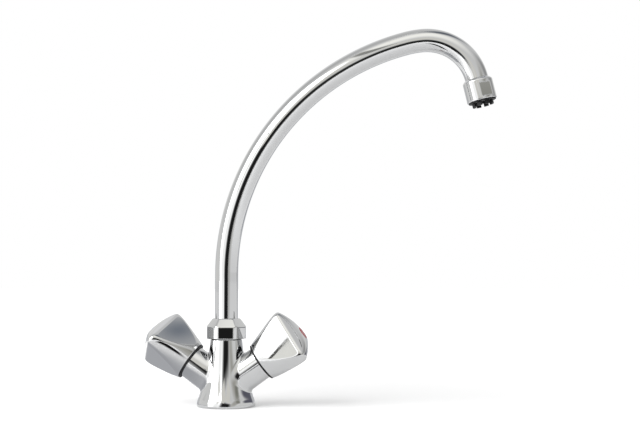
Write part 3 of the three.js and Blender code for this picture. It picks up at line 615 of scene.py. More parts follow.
# ---- handles
def handle_distance(x, y, z):
    """The handle: a widening side with three flats, a domed end with three slopes, a hollow."""
    r = np.hypot(x, y)
    grow = (HANDLE_LOBE_R - HANDLE_RIM_R) / HANDLE_L
    side = (r - HANDLE_RIM_R - grow * (z - HANDLE_RIM)) / math.hypot(1, grow)
    rise = np.maximum(z - HANDLE_RIM - HANDLE_L, 0)
    nearness = np.hypot(r / HANDLE_LOBE_R, rise / HANDLE_CROWN)
    steepness = np.hypot(r / HANDLE_LOBE_R**2, rise / HANDLE_CROWN**2 + 1e-9)
    crown = nearness * (nearness - 1) / steepness
    flats = side
    for i in range(3):
        angle = math.radians(60 + 120 * i)
        flat = x * math.cos(angle) + y * math.sin(angle) - HANDLE_FLAT
        flats = over(flats, flat, HANDLE_EDGE)
        slope = (z - HANDLE_RIM - HANDLE_L + flat * CROWN_PITCH) / math.hypot(1, CROWN_PITCH)
        crown = over(crown, slope, CROWN_BLEND)
    shape = over(flats, over(side, crown, LOBE_TIP), HANDLE_EDGE)
    shape = over(shape, HANDLE_RIM - z, ROUND_EDGE)
    ceiling = z - SPLINE_TOP - BUSH_PLAY
    hollow = over(r - HANDLE_FLAT + SKIRT_WALL, ceiling, SOFT_EDGE)
    boss = over(r - BOSS_R, SPLINE_LOW - z, FINE_EDGE)
    shape = cut(shape, cut(hollow, boss, EASED_EDGE), EASED_EDGE)
    shape = cut(shape, over(r - BUSH_R, ceiling, CRISP_EDGE), CRISP_EDGE)
    shape = cut(shape, r - SCREW_R, CRISP_EDGE)
    shape = cut(shape, over(r - SCREW_HEAD_R, SCREW_SEAT - z, CRISP_EDGE), CRISP_EDGE)
    room = over(r - INDEX_R - INDEX_PLAY, INDEX_FLOOR - z, SHARP_EDGE)
    return cut(shape, room, INDEX_MOUTH_EDGE)


# ---- aerator
def housing_distance(x, y, z):
    """The aerator's sleeve: chamfer, two spanner flats, the tube's socket, the insert's bore."""
    r = np.hypot(x, y)
    shape = over(r - AERATOR_R, -z, SOFT_EDGE)
    chamfer = (r - AERATOR_R + AERATOR_SHOULDER) * DIAGONAL - z * DIAGONAL
    shape = over(shape, chamfer, SOFT_EDGE)
    shape = over(shape, z - AERATOR_H, AERATOR_LIP_EDGE)
    band = over(AERATOR_FLATS_LOW - z, z - AERATOR_FLATS_HIGH, SHARP_EDGE)
    turn = math.radians(AERATOR_TURN)
    beyond = AERATOR_FLATS / 2 - np.abs(y * math.cos(turn) - x * math.sin(turn))
    shape = cut(shape, over(band, beyond, SHARP_EDGE), FINE_EDGE)
    shape = cut(shape, over(r - TUBE_R - SOCKET_PLAY, z - SOCKET_DEPTH, SHARP_EDGE), FINE_EDGE)
    return cut(shape, over(r - INSERT_R - INSERT_PLAY, AERATOR_GRIP - z, CRISP_EDGE), EASED_EDGE)


# ---- turned pieces
def turned(name, profile, place=Matrix.Identity(4), segments=96, crease=40.0):
    """A turned piece from its outline of radius and height, closed or from axis to axis."""
    angles = np.arange(segments) * 2 * math.pi / segments
    r, z = np.array(profile, float).T
    x, y = np.outer(np.cos(angles), r), np.outer(np.sin(angles), r)
    ring = np.stack([x, y, np.tile(z, (segments, 1))], 2)
    count = len(profile)
    faces = []
    for i in range(segments):
        a, b = i * count, (i + 1) % segments * count
        for j in range(count if r[0] > 0 else count - 1):
            k = (j + 1) % count
            faces.append((a + j, b + j, b + k, a + k))
    thing = piece_of(name, ring.reshape(-1, 3), faces, place)
    edit = bmesh.new()
    edit.from_mesh(thing.data)
    bmesh.ops.remove_doubles(edit, verts=edit.verts, dist=1e-7)
    edit.to_mesh(thing.data)
    edit.free()
    thing.data.set_sharp_from_angle(angle=math.radians(crease))
    return thing


def eased(profile, radius, steps=4):
    """A closed outline with each corner rounded, by less than half of its shorter side."""
    points = np.array(profile, float)
    round_off = []
    for i, corner in enumerate(points):
        before, after = points[i - 1], points[(i + 1) % len(points)]
        back, ahead = np.linalg.norm(before - corner), np.linalg.norm(after - corner)
        reach = min(radius, back / 2.2, ahead / 2.2)
        start = corner + (before - corner) / back * reach
        end = corner + (after - corner) / ahead * reach
        for t in np.linspace(0, 1, steps):
            round_off.append((1 - t) ** 2 * start + 2 * t * (1 - t) * corner + t * t * end)
    return round_off


# ---- geometry trees
class Tree:
    """A geometry tree with named sizes, which ends in Realize Instances and Set Material."""

    def __init__(self, name, sizes, from_mesh=False):
        """An empty tree with preset sizes, fed by its object's mesh where it is told so."""
        self.tree = bpy.data.node_groups.new(name, "GeometryNodeTree")
        face = self.tree.interface
        if from_mesh:
            face.new_socket("Geometry", in_out="INPUT", socket_type="NodeSocketGeometry")
        self.keys = {}
        for label, value in sizes.items():
            kind = "NodeSocketInt" if isinstance(value, int) else "NodeSocketFloat"
            socket = face.new_socket(label, in_out="INPUT", socket_type=kind)
            socket.default_value = value
            self.keys[label] = socket.identifier
        finish = face.new_socket("Finish", in_out="INPUT", socket_type="NodeSocketMaterial")
        self.keys["Finish"] = finish.identifier
        face.new_socket("Geometry", in_out="OUTPUT", socket_type="NodeSocketGeometry")
        self.source = self.tree.nodes.new("NodeGroupInput")

    def add(self, kind, ports=None, **settings):
        """A new node's first output. Ports take a value, a link or the name of a size."""
        node = self.tree.nodes.new(kind)
        for label, value in settings.items():
            setattr(node, label, value)
        for label, value in (ports or {}).items():
            for one in value if isinstance(value, list) else [value]:
                if isinstance(one, str):
                    one = self.source.outputs[one]
                if isinstance(one, bpy.types.NodeSocket):
                    self.tree.links.new(one, node.inputs[label])
                else:
                    node.inputs[label].default_value = one
        return node.outputs[0]

    def sum(self, operation, a, b=0.0):
        """One step of arithmetic."""
        return self.add("ShaderNodeMath", {0: a, 1: b}, operation=operation)

    def point(self, x=0.0, y=0.0, z=0.0):
        """A vector from its three parts."""
        return self.add("ShaderNodeCombineXYZ", {0: x, 1: y, 2: z})

    def swept(self, path, section, caps=True):
        """A section drawn along a path."""
        ports = {"Curve": path, "Profile Curve": section, "Fill Caps": caps}
        return self.add("GeometryNodeCurveToMesh", ports)

    def circle(self, radius, sides):
        """A circle of straight sides."""
        ports = {"Radius": radius, "Resolution": sides}
        return self.add("GeometryNodeCurvePrimitiveCircle", ports)

    def end(self, geometry):
        """The tree's result, in one piece, smooth and in its finish."""
        whole = self.add("GeometryNodeRealizeInstances", {"Geometry": geometry})
        smooth = self.add("GeometryNodeSetShadeSmooth", {"Geometry": whole})
        ports = {"Geometry": smooth, "Material": "Finish"}
        finished = self.add("GeometryNodeSetMaterial", ports)
        self.tree.links.new(finished, self.tree.nodes.new("NodeGroupOutput").inputs[0])


def grown(name, tree, slot, place=Matrix.Identity(4), crease=None, start=None, **sizes):
    """A plain mesh object grown by a tree from its sizes in millimetres, placed in its mesh."""
    seed = linked(name + "_seed", start or bpy.data.meshes.new(name))
    modifier = seed.modifiers.new("Growth", "NODES")
    modifier.node_group = tree.tree
    for label, value in sizes.items():
        modifier[tree.keys[label.replace("_", " ")]] = value
    modifier[tree.keys["Finish"]] = finishes[slot]
    bpy.context.view_layer.update()
    ready = seed.evaluated_get(bpy.context.evaluated_depsgraph_get())
    grown_mesh = bpy.data.meshes.new_from_object(ready)
    seed.modifiers.remove(modifier)
    bpy.data.objects.remove(seed)
    grown_mesh.name = name
    edit = bmesh.new()
    edit.from_mesh(grown_mesh)
    bmesh.ops.remove_doubles(edit, verts=edit.verts, dist=1e-5)
    bmesh.ops.recalc_face_normals(edit, faces=edit.faces)
    edit.to_mesh(grown_mesh)
    edit.free()
    grown_mesh.transform(Matrix.Scale(MM, 4) @ place)
    if crease:
        grown_mesh.set_sharp_from_angle(angle=math.radians(crease))
    return linked(name, grown_mesh)


def bent_tube_tree():
    """A tube's outer wall and its bore, swept along the route that its mesh gives."""
    tree = Tree("Bent Tube", {"Radius": 9.0, "Bore": 8.0, "Sides": 96}, from_mesh=True)
    route = tree.add("GeometryNodeMeshToCurve", {"Mesh": "Geometry"})
    still = tree.add("GeometryNodeSetCurveNormal", {"Curve": route})
    outer = tree.swept(still, tree.circle("Radius", "Sides"), False)
    inner = tree.swept(still, tree.circle("Bore", "Sides"), False)
    inner = tree.add("GeometryNodeFlipFaces", {"Mesh": inner})
    tree.end(tree.add("GeometryNodeJoinGeometry", {0: [outer, inner]}))
    return tree


def seal_ring_tree():
    """An O-ring."""
    tree = Tree("Seal Ring", {"Middle Radius": 9.0, "Section": 1.5})
    section = tree.circle(tree.sum("MULTIPLY", "Section", 0.5), 16)
    tree.end(tree.swept(tree.circle("Middle Radius", 72), section, False))
    return tree


def castellated_tree():
    """A ring with teeth below it, each swept along its own arc and rooted in the ring."""
    tree = Tree(
        "Castellated Ring",
        {"Radius": 8.0, "Wall": 1.6, "Collar": 3.0, "Drop": 3.8, "Teeth": 8, "Tooth Turn": 0.5},
    )
    bar = "GeometryNodeCurvePrimitiveQuadrilateral"
    middle = tree.sum("SUBTRACT", "Radius", tree.sum("MULTIPLY", "Wall", 0.5))
    collar = tree.add(bar, {"Width": "Wall", "Height": "Collar"})
    ring = tree.swept(tree.circle(middle, 96), collar, False)
    above = tree.point(z=tree.sum("MULTIPLY", "Collar", -0.5))
    ring = tree.add("GeometryNodeTransform", {"Geometry": ring, "Translation": above})
    half = tree.sum("MULTIPLY", "Tooth Turn", -0.5)
    arc = tree.add(
        "GeometryNodeCurveArc",
        {"Resolution": 10, "Radius": middle, "Start Angle": half, "Sweep Angle": "Tooth Turn"},
        mode="RADIUS",
    )
    tooth = tree.add(bar, {"Width": "Wall", "Height": tree.sum("ADD", "Drop", 2 * TOOTH_ROOT)})
    below = tree.sum("SUBTRACT", tree.sum("MULTIPLY", "Drop", 0.5), TOOTH_ROOT)
    ports = {"Geometry": tree.swept(arc, tooth), "Translation": tree.point(z=below)}
    tooth = tree.add("GeometryNodeTransform", ports)
    posts = tree.add("GeometryNodeMeshLine", {"Count": "Teeth", "Offset": (0.0, 0.0, 0.0)})
    step = tree.sum("DIVIDE", 2 * math.pi, "Teeth")
    turn = tree.sum("MULTIPLY", tree.add("GeometryNodeInputIndex"), step)
    turn = tree.add("FunctionNodeEulerToRotation", {0: tree.point(z=turn)})
    ports = {"Points": posts, "Instance": tooth, "Rotation": turn}
    teeth = tree.add("GeometryNodeInstanceOnPoints", ports)
    tree.end(tree.add("GeometryNodeJoinGeometry", {0: [ring, teeth]}))
    return tree


def woven_screen_tree():
    """A disc of plain-woven wire."""
    tree = Tree("Woven Screen", {"Radius": 7.4, "Pitch": 1.1, "Wire": 0.22, "Wires": 13})
    reach = tree.sum("MULTIPLY", tree.sum("SUBTRACT", "Wires", 1.0), 0.5)
    edge = tree.sum("MULTIPLY", reach, "Pitch")
    start = tree.point(y=tree.sum("MULTIPLY", edge, -1.0))
    length = tree.sum("ADD", "Radius", 0.4)
    back = tree.sum("MULTIPLY", length, -1.0)
    ports = {"Start": tree.point(x=back), "End": tree.point(x=length)}
    wire = tree.add("GeometryNodeCurvePrimitiveLine", ports)
    wire = tree.add("GeometryNodeResampleCurve", {"Curve": wire, "Count": 120})
    ports = {"Count": "Wires", "Start Location": start, "Offset": tree.point(y="Pitch")}
    rows = tree.add("GeometryNodeMeshLine", ports)
    warp = tree.add("GeometryNodeInstanceOnPoints", {"Points": rows, "Instance": wire})
    warp = tree.add("GeometryNodeRealizeInstances", {"Geometry": warp})
    place = tree.add("ShaderNodeSeparateXYZ", {0: tree.add("GeometryNodeInputPosition")})
    across = place.node.outputs[:2]
    beat = tree.sum("DIVIDE", math.pi, "Pitch")
    waves = [tree.sum("COSINE", tree.sum("MULTIPLY", part, beat)) for part in across]
    lift = tree.sum("MULTIPLY", "Wire", 0.55)
    rise = tree.point(z=tree.sum("MULTIPLY", tree.sum("MULTIPLY", *waves), lift))
    warp = tree.add("GeometryNodeSetPosition", {"Geometry": warp, "Offset": rise})
    quarter = (math.pi, 0.0, math.pi / 2)
    weft = tree.add("GeometryNodeTransform", {"Geometry": warp, "Rotation": quarter})
    cloth = tree.add("GeometryNodeJoinGeometry", {0: [warp, weft]})
    away = tree.sum("ADD", *[tree.sum("MULTIPLY", part, part) for part in across])
    ports = {0: tree.sum("SQRT", away), 1: "Radius"}
    beyond = tree.add("FunctionNodeCompare", ports, operation="GREATER_THAN")
    ports = {"Geometry": cloth, "Selection": beyond}
    cloth = tree.add("GeometryNodeDeleteGeometry", ports, domain="POINT")
    tree.end(tree.swept(cloth, tree.circle(tree.sum("MULTIPLY", "Wire", 0.5), 6)))
    return tree


def thread_tree():
    """A helical thread of triangular section, sunk by half into the wall that it is cut in."""
    tree = Tree("Helical Thread", {"Radius": 4.4, "Pitch": 1.0, "Length": 9.0, "Depth": 0.5})
    ports = {"Resolution": 40, "Rotations": tree.sum("DIVIDE", "Length", "Pitch")}
    ports |= {"Start Radius": "Radius", "End Radius": "Radius", "Height": "Length"}
    helix = tree.add("GeometryNodeCurveSpiral", ports)
    tree.end(tree.swept(helix, tree.circle("Depth", 3)))
    return tree


# ---- pieces
def spout_route():
    """The riser, the three bends and the tail, close enough together to be smooth."""
    x, z, heading = 0.0, TUBE_FOOT, math.pi / 2
    route = [(x, 0.0, z), (x, 0.0, (TUBE_FOOT + RISER_TOP) / 2)]
    z = RISER_TOP
    route.append((x, 0.0, z))
    for radius, turn in BENDS:
        steps = math.ceil(turn / BEND_STEP)
        step = math.radians(turn) / steps
        for _ in range(steps):
            x += radius * (math.sin(heading) - math.sin(heading - step))
            z -= radius * (math.cos(heading) - math.cos(heading - step))
            heading -= step
            route.append((x, 0.0, z))
    end = (x + TAIL * math.cos(heading), 0.0, z + TAIL * math.sin(heading))
    route.append(end)
    return route, heading


def closed_ends(mesh, ends, reach, crease):
    """Rings of faces across a tube's open ends, from the outer wall to the bore."""
    edit = bmesh.new()
    edit.from_mesh(mesh)
    for end in ends:
        middle = Vector(end) * MM
        rims = [
            edge
            for edge in edit.edges
            if edge.is_boundary and (edge.verts[0].co - middle).length < reach * MM
        ]
        bmesh.ops.bridge_loops(edit, edges=rims)
    bmesh.ops.recalc_face_normals(edit, faces=edit.faces)
    edit.to_mesh(mesh)
    edit.free()
    mesh.set_sharp_from_angle(angle=math.radians(crease))


def spout_pieces():
    """The bent tube with its aerator sleeve, toothed insert and screen."""
    route, heading = spout_route()
    line = bpy.data.meshes.new("spout_route")
    line.from_pydata(route, [(i, i + 1) for i in range(len(route) - 1)], [])
    tube = grown(
        "bent_spout_tube",
        bent_tube_tree(),
        "chrome",
        start=line,
        Radius=TUBE_R,
        Bore=TUBE_R - TUBE_WALL,
        Sides=TUBE_SIDES,
    )
    closed_ends(tube.data, (route[0], route[-1]), 2 * TUBE_R, TUBE_CREASE)
    dressed(tube, "spout", "chrome", "spout_tube")

    tilt = Matrix.Rotation(math.pi / 2 - heading, 4, "Y")
    outlet = Matrix.Translation(route[-1]) @ tilt @ Matrix.Translation((0, 0, -AERATOR_GRIP))
    points, quads, normals = skinned(housing_distance, *SLEEVE_BOX, SLEEVE_CELL)
    housing = piece_of("aerator_sleeve", points, quads, outlet, normals)
    dressed(housing, "spout", "chrome", "aerator_housing")

    turn = Matrix.Rotation(math.radians(TEETH_TURN), 4, "Z")
    insert = grown(
        "castellated_insert",
        castellated_tree(),
        "black_plastic",
        outlet @ Matrix.Translation((0, 0, AERATOR_H)) @ turn,
        30.0,
        Radius=TOOTH_R,
        Wall=INSERT_WALL,
        Collar=TOOTH_COLLAR,
        Drop=INSERT_DROP,
        Teeth=TEETH,
        Tooth_Turn=2 * math.pi / TEETH - TOOTH_GAP / TOOTH_R,
    )
    dressed(insert, "spout", "black_plastic")
    outer, inner = INSERT_R - INSERT_PLAY, TOOTH_R - INSERT_WALL
    low, high = AERATOR_H + INSERT_LIP_LOW, AERATOR_H + INSERT_LIP_HIGH
    outline = [(inner, INSERT_TOP), (outer, INSERT_TOP), (outer, low), (INSERT_LIP_R, low)]
    face = high + INSERT_LIP_RISE
    outline += [(INSERT_LIP_R, high), (TOOTH_R, face), (inner, face)]
    upper = turned("aerator_insert_body", eased(outline, INSERT_EDGE), outlet)
    dressed(upper, "spout", "black_plastic", "aerator_insert")
    screen = grown(
        "woven_outlet_screen",
        woven_screen_tree(),
        "steel",
        outlet @ Matrix.Translation((0, 0, SCREEN_PLACE)),
        Radius=SCREEN_R,
        Pitch=SCREEN_PITCH,
        Wire=SCREEN_WIRE,
        Wires=SCREEN_WIRES,
    )
    dressed(screen, "spout", "steel", "aerator_screen")


def body_pieces():
    """The casting, the spout nut, the base seal and the threads in the underside."""
    points, quads, normals = skinned(body_distance, *CASTING_BOX, CASTING_CELL)
    casting = piece_of("mixer_casting", points, quads, normals=normals)
    dressed(casting, "body", "chrome", "mixer_body")
    reach = 0.6 * NUT_FLATS
    low, high = (-reach, -reach, NUT_LOW - 1), (reach, reach, NUT_TOP + 1)
    points, quads, normals = skinned(nut_distance, low, high, NUT_CELL)
    nut = piece_of("hexagon_spout_nut", points, quads, normals=normals)
    dressed(nut, "body", "chrome", "spout_nut")
    inner, outer = GASKET_IN + GASKET_PLAY, GASKET_OUT - GASKET_PLAY
    top = GASKET_DEPTH - GASKET_PLAY
    outline = [(inner, 0.0), (outer, 0.0), (outer, top), (inner, top)]
    dressed(turned("base_seal_ring", eased(outline, EASED_EDGE)), "body", "rubber", "base_gasket")
    threads = thread_tree()
    for name, x, y, radius, depth, pitch in (
        ("left_hose_thread", -INLET_X, 0.0, INLET_R, INLET_DEPTH, 1.0),
        ("right_hose_thread", INLET_X, 0.0, INLET_R, INLET_DEPTH, 1.0),
        ("fixing_stud_thread", 0.0, STUD_Y, STUD_R, STUD_DEPTH, 1.25),
    ):
        thread = grown(
            name,
            threads,
            "brass",
            Matrix.Translation((x, y, THREAD_START)),
            30.0,
            Radius=radius,
            Pitch=pitch,
            Length=depth - THREAD_RUNOUT,
            Depth=THREAD_DEPTH * pitch,
        )
        dressed(thread, "body", "brass")


def seal_pieces():
    """The O-rings, each on the body that carries its groove."""
    rows = [
        (name, "spout", Matrix.Translation((0, 0, z)), SPOUT_RING_R, RING_SECTION)
        for name, z in SPOUT_RINGS
    ]
    for side, label in ((-1, "left"), (1, "right")):
        for name, body, along, middle, section in (
            ("_bonnet_ring", "body", BONNET_RING_AT, BONNET_RING_R, RING_SECTION),
            (
                "_spindle_ring",
                label + "_handle_unit",
                SPINDLE_RING_AT,
                SPINDLE_RING_R,
                SPINDLE_RING_SECTION,
            ),
        ):
            place = arm_place(side) @ Matrix.Translation((0, 0, along))
            rows.append((label + name, body, place, middle, section))
    rings = seal_ring_tree()
    for node, body, place, middle, section in rows:
        ring = grown(
            node + "_round", rings, "rubber", place, Middle_Radius=middle, Section=section
        )
        dressed(ring, body, "rubber", node)


def handle_pieces():
    """Each handle with the black ring in its skirt, partly painted shade, and the coloured index in
    its end.
    """
    reach = HANDLE_LOBE_R + 1
    crown = HANDLE_RIM + HANDLE_L + HANDLE_CROWN
    low, high = (-reach, -reach, HANDLE_RIM - 1), (reach, reach, crown + 1)
    points, quads, normals = skinned(handle_distance, low, high, HANDLE_CELL)

    # The black ring in the skirt's mouth: partly the skirt's dark inside, partly painted shade in
    # the gap at the rim.
    rim, seat = HANDLE_RIM - SKIRT_DARK_RING_DROP, HANDLE_RIM + SKIRT_DARK_RING_SEAT
    wall, tuck = SKIRT_DARK_RING_IN + SKIRT_DARK_RING_WALL, HANDLE_RIM + SKIRT_DARK_RING_TUCK
    dark_ring = [(SKIRT_DARK_RING_IN, rim), (SKIRT_DARK_RING_R, rim), (SKIRT_DARK_RING_R, seat)]
    dark_ring += [(wall, seat), (wall, tuck), (SKIRT_DARK_RING_IN, tuck)]

    floor = INDEX_FLOOR + INDEX_PLAY
    index = [(0.0, floor), (INDEX_R, floor)]
    index += [(INDEX_R - inset, crown - drop) for inset, drop in INDEX_EDGE]
    index += [
        (r, crown - HANDLE_CROWN * (1 - math.sqrt(1 - (r / HANDLE_LOBE_R) ** 2)))
        for r in INDEX_FACE
    ]

    for side, label, lobe, slot in (
        (-1, "left", LEFT_LOBE, "blue_plastic"),
        (1, "right", RIGHT_LOBE, "red_plastic"),
    ):
        place = arm_place(side, math.pi + side * math.radians(lobe))
        unit = label + "_handle_unit"
        knob = piece_of(label + "_lobed_handle", points, quads, place, normals)
        dressed(knob, unit, "chrome", label + "_handle")
        dressed(turned(label + "_skirt_dark_ring", eased(dark_ring, CRISP_EDGE), place), unit, "black_plastic")
        button = turned(label + "_domed_index", index, place)
        dressed(button, unit, slot, label + "_index_button")


body_pieces()
seal_pieces()
spout_pieces()
handle_pieces()


# ---- studio, in metres
CENTRE = (0.03, 0.0, 0.1)
PHOTO_WIDTH = 640
FOCAL_PIXELS = 1216.0
SENSOR = 36
CAMERA_PLACE = (0.1858, -0.937, 0.098)
CAMERA_TILT = 2.853
CAMERA_TURN = 6.83
PANEL_TURN = 6.5
FLOOR_WIDTH = 24.0
FLOOR_DROP = 0.0002
FLOOR_GLOW_SPAN = (0.1, 0.75)
FLOOR_GLOW = (0.22, 0.6)
ROOM_LIGHT = 0.62
FLAG_HEIGHT = 0.002
LAMP_PLACE = (-48, 22, 1.15)
LAMP_SIZE = (1.1, 1.3)
LAMP_WATTS = 21.0
TENT_R = 1.3
TENT_SKIRT = -0.11
TENT_LOW = (1.04, 1.04, 1.02)
TENT_HIGH = (0.91, 0.91, 0.91)

# Panels round the object: azimuth, elevation, distance, roll, width, height, softness, colour.
PANELS = (
    ("left_softbox", -36.2, 3.9, 1.06, -39.0, 2.06, 1.9, 0.95, 1.6, 1.6, 1.58),
    ("front_softbox", -2.7, 52.9, 0.97, -22.3, 2.0, 1.03, 0.93, 1.63, 1.61, 1.52),
    ("back_left_softbox", -148.6, 43.7, 1.23, -3.7, 1.22, 0.83, 0.42, 1.05, 1.05, 1.06),
    ("ceiling_gap", 91.9, 70.8, 0.99, 40.6, 1.35, 0.46, 0.92, 0.17, 0.19, 0.23),
    ("ceiling_shade", 129.3, 60.0, 0.95, 0.0, 0.06, 0.12, 1.0, 0.3, 0.33, 0.38),
    ("right_wall", 99.6, 31.8, 0.79, 19.8, 0.98, 0.47, 0.89, 0.46, 0.46, 0.46),
    ("right_low_wall", 110.8, 10.1, 0.94, 13.1, 1.52, 0.26, 0.58, 0.16, 0.16, 0.2),
    ("back_wall", 179.7, 1.0, 0.79, 2.9, 2.49, 0.54, 0.65, 0.7, 0.71, 0.73),
    ("far_left_wall", -111.0, 58.9, 0.88, -3.0, 0.8, 2.59, 0.93, 0.74, 0.74, 0.73),
    ("front_grey_band", 40.9, 15.7, 0.84, -41.0, 1.61, 0.46, 0.99, 0.55, 0.54, 0.49),
    ("front_grey_shade", 55.0, 19.0, 0.8, 0.0, 0.35, 0.3, 0.8, 0.33, 0.33, 0.29),
    ("lens_flag", -2.5, 0.0, 0.6, 14.0, 0.58, 0.47, 0.6, 0.02, 0.02, 0.02),
    ("left_of_lens", -9.65, 24.4, 0.55, 32.5, 0.14, 0.2, 0.1, 1.05, 1.03, 0.96),
    ("right_of_lens", 10.2, 24.4, 0.55, -32.5, 0.14, 0.2, 0.1, 1.05, 1.03, 0.96),
    ("softbox_gap", -14.8, 41.8, 0.88, -29.2, 0.075, 1.14, 0.7, 0.4, 0.4, 0.38),
    ("warm_panel", -33.2, 19.2, 0.9, 34.3, 0.12, 0.16, 0.004, 1.3, 1.29, 1.22),
    ("warm_panel_frame", -33.2, 19.2, 0.902, 34.3, 0.1285, 0.1685, 0.002, 0.12, 0.12, 0.11),
)
# Sheets on the table that reflections alone see, the greys painted floor shade: x, y, roll, width,
# height, softness, colour.
TABLE_SHEETS = (
    ("near_flag", 0.06, -0.25, 33.0, 0.075, 0.26, 0.4, 0.01, 0.01, 0.01),
    ("left_shade", -0.12, 0.055, -14.0, 0.3, 0.3, 0.45, 0.6, 0.61, 0.64),
    ("far_shade", 0.3, 0.8, 0.0, 1.2, 0.6, 0.5, 0.4, 0.42, 0.46),
)


def emission(name, colour):
    """A material that only glows, its tree and its light."""
    material = bpy.data.materials.new(name)
    material.use_nodes = True
    tree = material.node_tree
    tree.nodes.remove(tree.nodes["Principled BSDF"])
    light = tree.nodes.new("ShaderNodeEmission")
    light.inputs["Color"].default_value = (*colour, 1.0)
    tree.links.new(light.outputs["Emission"], tree.nodes["Material Output"].inputs["Surface"])
    return material, tree, light


def sheet(name, width, height):
    """A flat rectangle about its own middle."""
    mesh = bpy.data.meshes.new(name)
    x, y = width / 2, height / 2
    mesh.from_pydata([(-x, -y, 0), (x, -y, 0), (x, y, 0), (-x, y, 0)], [], [(0, 1, 2, 3)])
    return mesh


def aimed(place, toward, axis):
    """The turn and place of something whose axis points from one place toward another."""
    facing = (Vector(toward) - Vector(place)).to_track_quat(axis, "Y").to_matrix().to_4x4()
    return Matrix.Translation(place) @ facing


def only_reflected(name, mesh, material, place):
    """A stage piece that reflections alone see."""
    mesh.materials.append(material)
    thing = linked(name, mesh)
    thing.matrix_world = place
    thing.visible_camera = False
    thing.visible_diffuse = False
    thing.visible_shadow = False


def card(name, place, toward, size, roll, soft, colour):
    """A studio panel that faces a point, its light fading out towards its edges."""
    material, tree, light = emission(name, colour)
    across = tree.nodes.new("ShaderNodeSeparateXYZ")
    tree.links.new(object_place(tree), across.inputs["Vector"])
    fade = []
    for label, extent in zip(("X", "Y"), size):
        off = sums(tree, "ABSOLUTE", across.outputs[label], 0.0)
        core = extent / 2 * (1 - soft)
        fade.append(spread(tree, off, core, extent / 2, 1.0, 0.0, "SMOOTHSTEP"))
    clear = tree.nodes.new("ShaderNodeBsdfTransparent")
    blend = tree.nodes.new("ShaderNodeMixShader")
    tree.links.new(sums(tree, "MULTIPLY", *fade), blend.inputs["Fac"])
    tree.links.new(clear.outputs["BSDF"], blend.inputs[1])
    tree.links.new(light.outputs["Emission"], blend.inputs[2])
    tree.links.new(blend.outputs["Shader"], tree.nodes["Material Output"].inputs["Surface"])
    facing = aimed(place, toward, "Z") @ Matrix.Rotation(math.radians(roll), 4, "Z")
    only_reflected(name, sheet(name, *size), material, facing)


def light_tent(radius, low, high):
    """A pale dome round the object, its tone changing slowly with height."""
    material, tree, light = emission("tent_cloth", low)
    height = tree.nodes.new("ShaderNodeSeparateXYZ")
    tree.links.new(object_place(tree), height.inputs["Vector"])
    ramp = tree.nodes.new("ShaderNodeValToRGB")
    ramp.color_ramp.elements[0].color = (*low, 1.0)
    ramp.color_ramp.elements[1].color = (*high, 1.0)
    share = spread(tree, height.outputs["Z"], 0.0, radius, 0.0, 1.0, "SMOOTHSTEP")
    tree.links.new(share, ramp.inputs["Fac"])
    tree.links.new(ramp.outputs["Color"], light.inputs["Color"])
    mesh = bpy.data.meshes.new("light_tent")
    edit = bmesh.new()
    bmesh.ops.create_uvsphere(edit, u_segments=64, v_segments=32, radius=radius)
    below = [vert for vert in edit.verts if vert.co.z < TENT_SKIRT]
    bmesh.ops.delete(edit, geom=below, context="VERTS")
    edit.to_mesh(mesh)
    edit.free()
    mesh.shade_smooth()
    only_reflected("light_tent", mesh, material, Matrix.Translation(CENTRE))


def around(azimuth, elevation, distance):
    """A point round the object: azimuth 0 is toward the viewer, and it grows to their right."""
    a = math.radians(azimuth + PANEL_TURN)
    e = math.radians(elevation)
    return (
        CENTRE[0] + distance * math.sin(a) * math.cos(e),
        CENTRE[1] - distance * math.cos(a) * math.cos(e),
        CENTRE[2] + distance * math.sin(e),
    )


def seen_directly(tree):
    """One where the viewer, a mirror or glass looks at a surface, nought where light falls."""
    path = tree.nodes.new("ShaderNodeLightPath")
    seen = sums(tree, "MAXIMUM", path.outputs["Is Camera Ray"], path.outputs["Is Glossy Ray"])
    return sums(tree, "MAXIMUM", seen, path.outputs["Is Transmission Ray"])


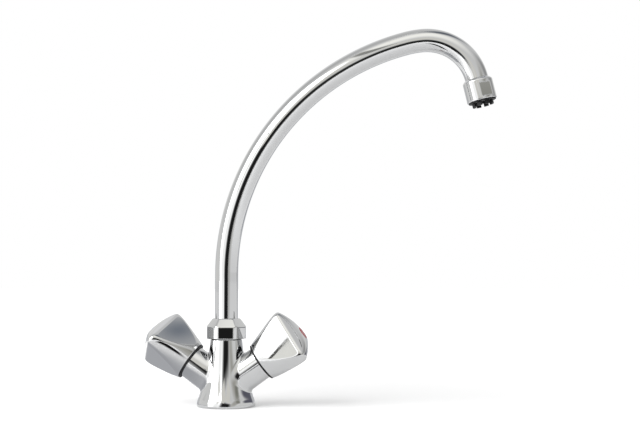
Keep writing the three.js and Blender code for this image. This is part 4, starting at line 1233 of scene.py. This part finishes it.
def floor_piece():
    """A pale floor that takes the shadow and grows white away from the object."""
    mesh = sheet("studio_floor", FLOOR_WIDTH, FLOOR_WIDTH)
    thing = linked("studio_floor", mesh)
    thing.location.z = -FLOOR_DROP
    material, tree, shader = surface("pale_floor", 0.0, 0.9, 0.0)
    shader.inputs["Base Color"].default_value = (0.8, 0.8, 0.8, 1.0)
    light = tree.nodes.new("ShaderNodeEmission")
    away = tree.nodes.new("ShaderNodeVectorMath")
    away.operation = "LENGTH"
    tree.links.new(object_place(tree), away.inputs[0])
    lift = spread(tree, away.outputs["Value"], *FLOOR_GLOW_SPAN, *FLOOR_GLOW, "SMOOTHSTEP")
    glow = sums(tree, "MULTIPLY", seen_directly(tree), lift)
    tree.links.new(glow, light.inputs["Strength"])
    both = tree.nodes.new("ShaderNodeAddShader")
    tree.links.new(shader.outputs["BSDF"], both.inputs[0])
    tree.links.new(light.outputs["Emission"], both.inputs[1])
    tree.links.new(both.outputs["Shader"], tree.nodes["Material Output"].inputs["Surface"])
    mesh.materials.append(material)


def world_light():
    """A white room that lights the object at a plain level."""
    world = bpy.data.worlds.new("pale_room")
    bpy.context.scene.world = world
    world.use_nodes = True
    tree = world.node_tree
    sky = tree.nodes["Background"]
    sky.inputs["Color"].default_value = (1.0, 1.0, 1.0, 1.0)
    level = spread(tree, seen_directly(tree), 0.0, 1.0, ROOM_LIGHT, 1.0)
    tree.links.new(level, sky.inputs["Strength"])


def softbox(name, place, toward, width, height, energy):
    """A rectangular lamp aimed at a point."""
    light = bpy.data.lights.new(name, "AREA")
    light.shape = "RECTANGLE"
    light.size = width
    light.size_y = height
    light.energy = energy
    thing = linked(name, light)
    thing.matrix_world = aimed(place, toward, "-Z")
    thing.visible_camera = False


def camera():
    """The camera at the photograph's viewing angle."""
    lens = bpy.data.cameras.new("front_camera")
    lens.lens = FOCAL_PIXELS / PHOTO_WIDTH * SENSOR
    lens.sensor_width = SENSOR
    lens.clip_start = 0.01
    lens.clip_end = 50
    thing = linked("front_camera", lens)
    thing.location = CAMERA_PLACE
    thing.rotation_euler = (math.radians(90 + CAMERA_TILT), 0, math.radians(CAMERA_TURN))
    bpy.context.scene.camera = thing


floor_piece()
world_light()
camera()
softbox("left_softbox_lamp", around(*LAMP_PLACE), CENTRE, *LAMP_SIZE, LAMP_WATTS)
light_tent(TENT_R, TENT_LOW, TENT_HIGH)
for name, azimuth, elevation, distance, roll, width, height, soft, *colour in PANELS:
    card(name, around(azimuth, elevation, distance), CENTRE, (width, height), roll, soft, colour)
for name, x, y, roll, width, height, soft, *colour in TABLE_SHEETS:
    card(name, (x, y, FLAG_HEIGHT), (x, y, 1.0), (width, height), roll, soft, colour)

view = bpy.context.scene.view_settings
view.view_transform = "Standard"
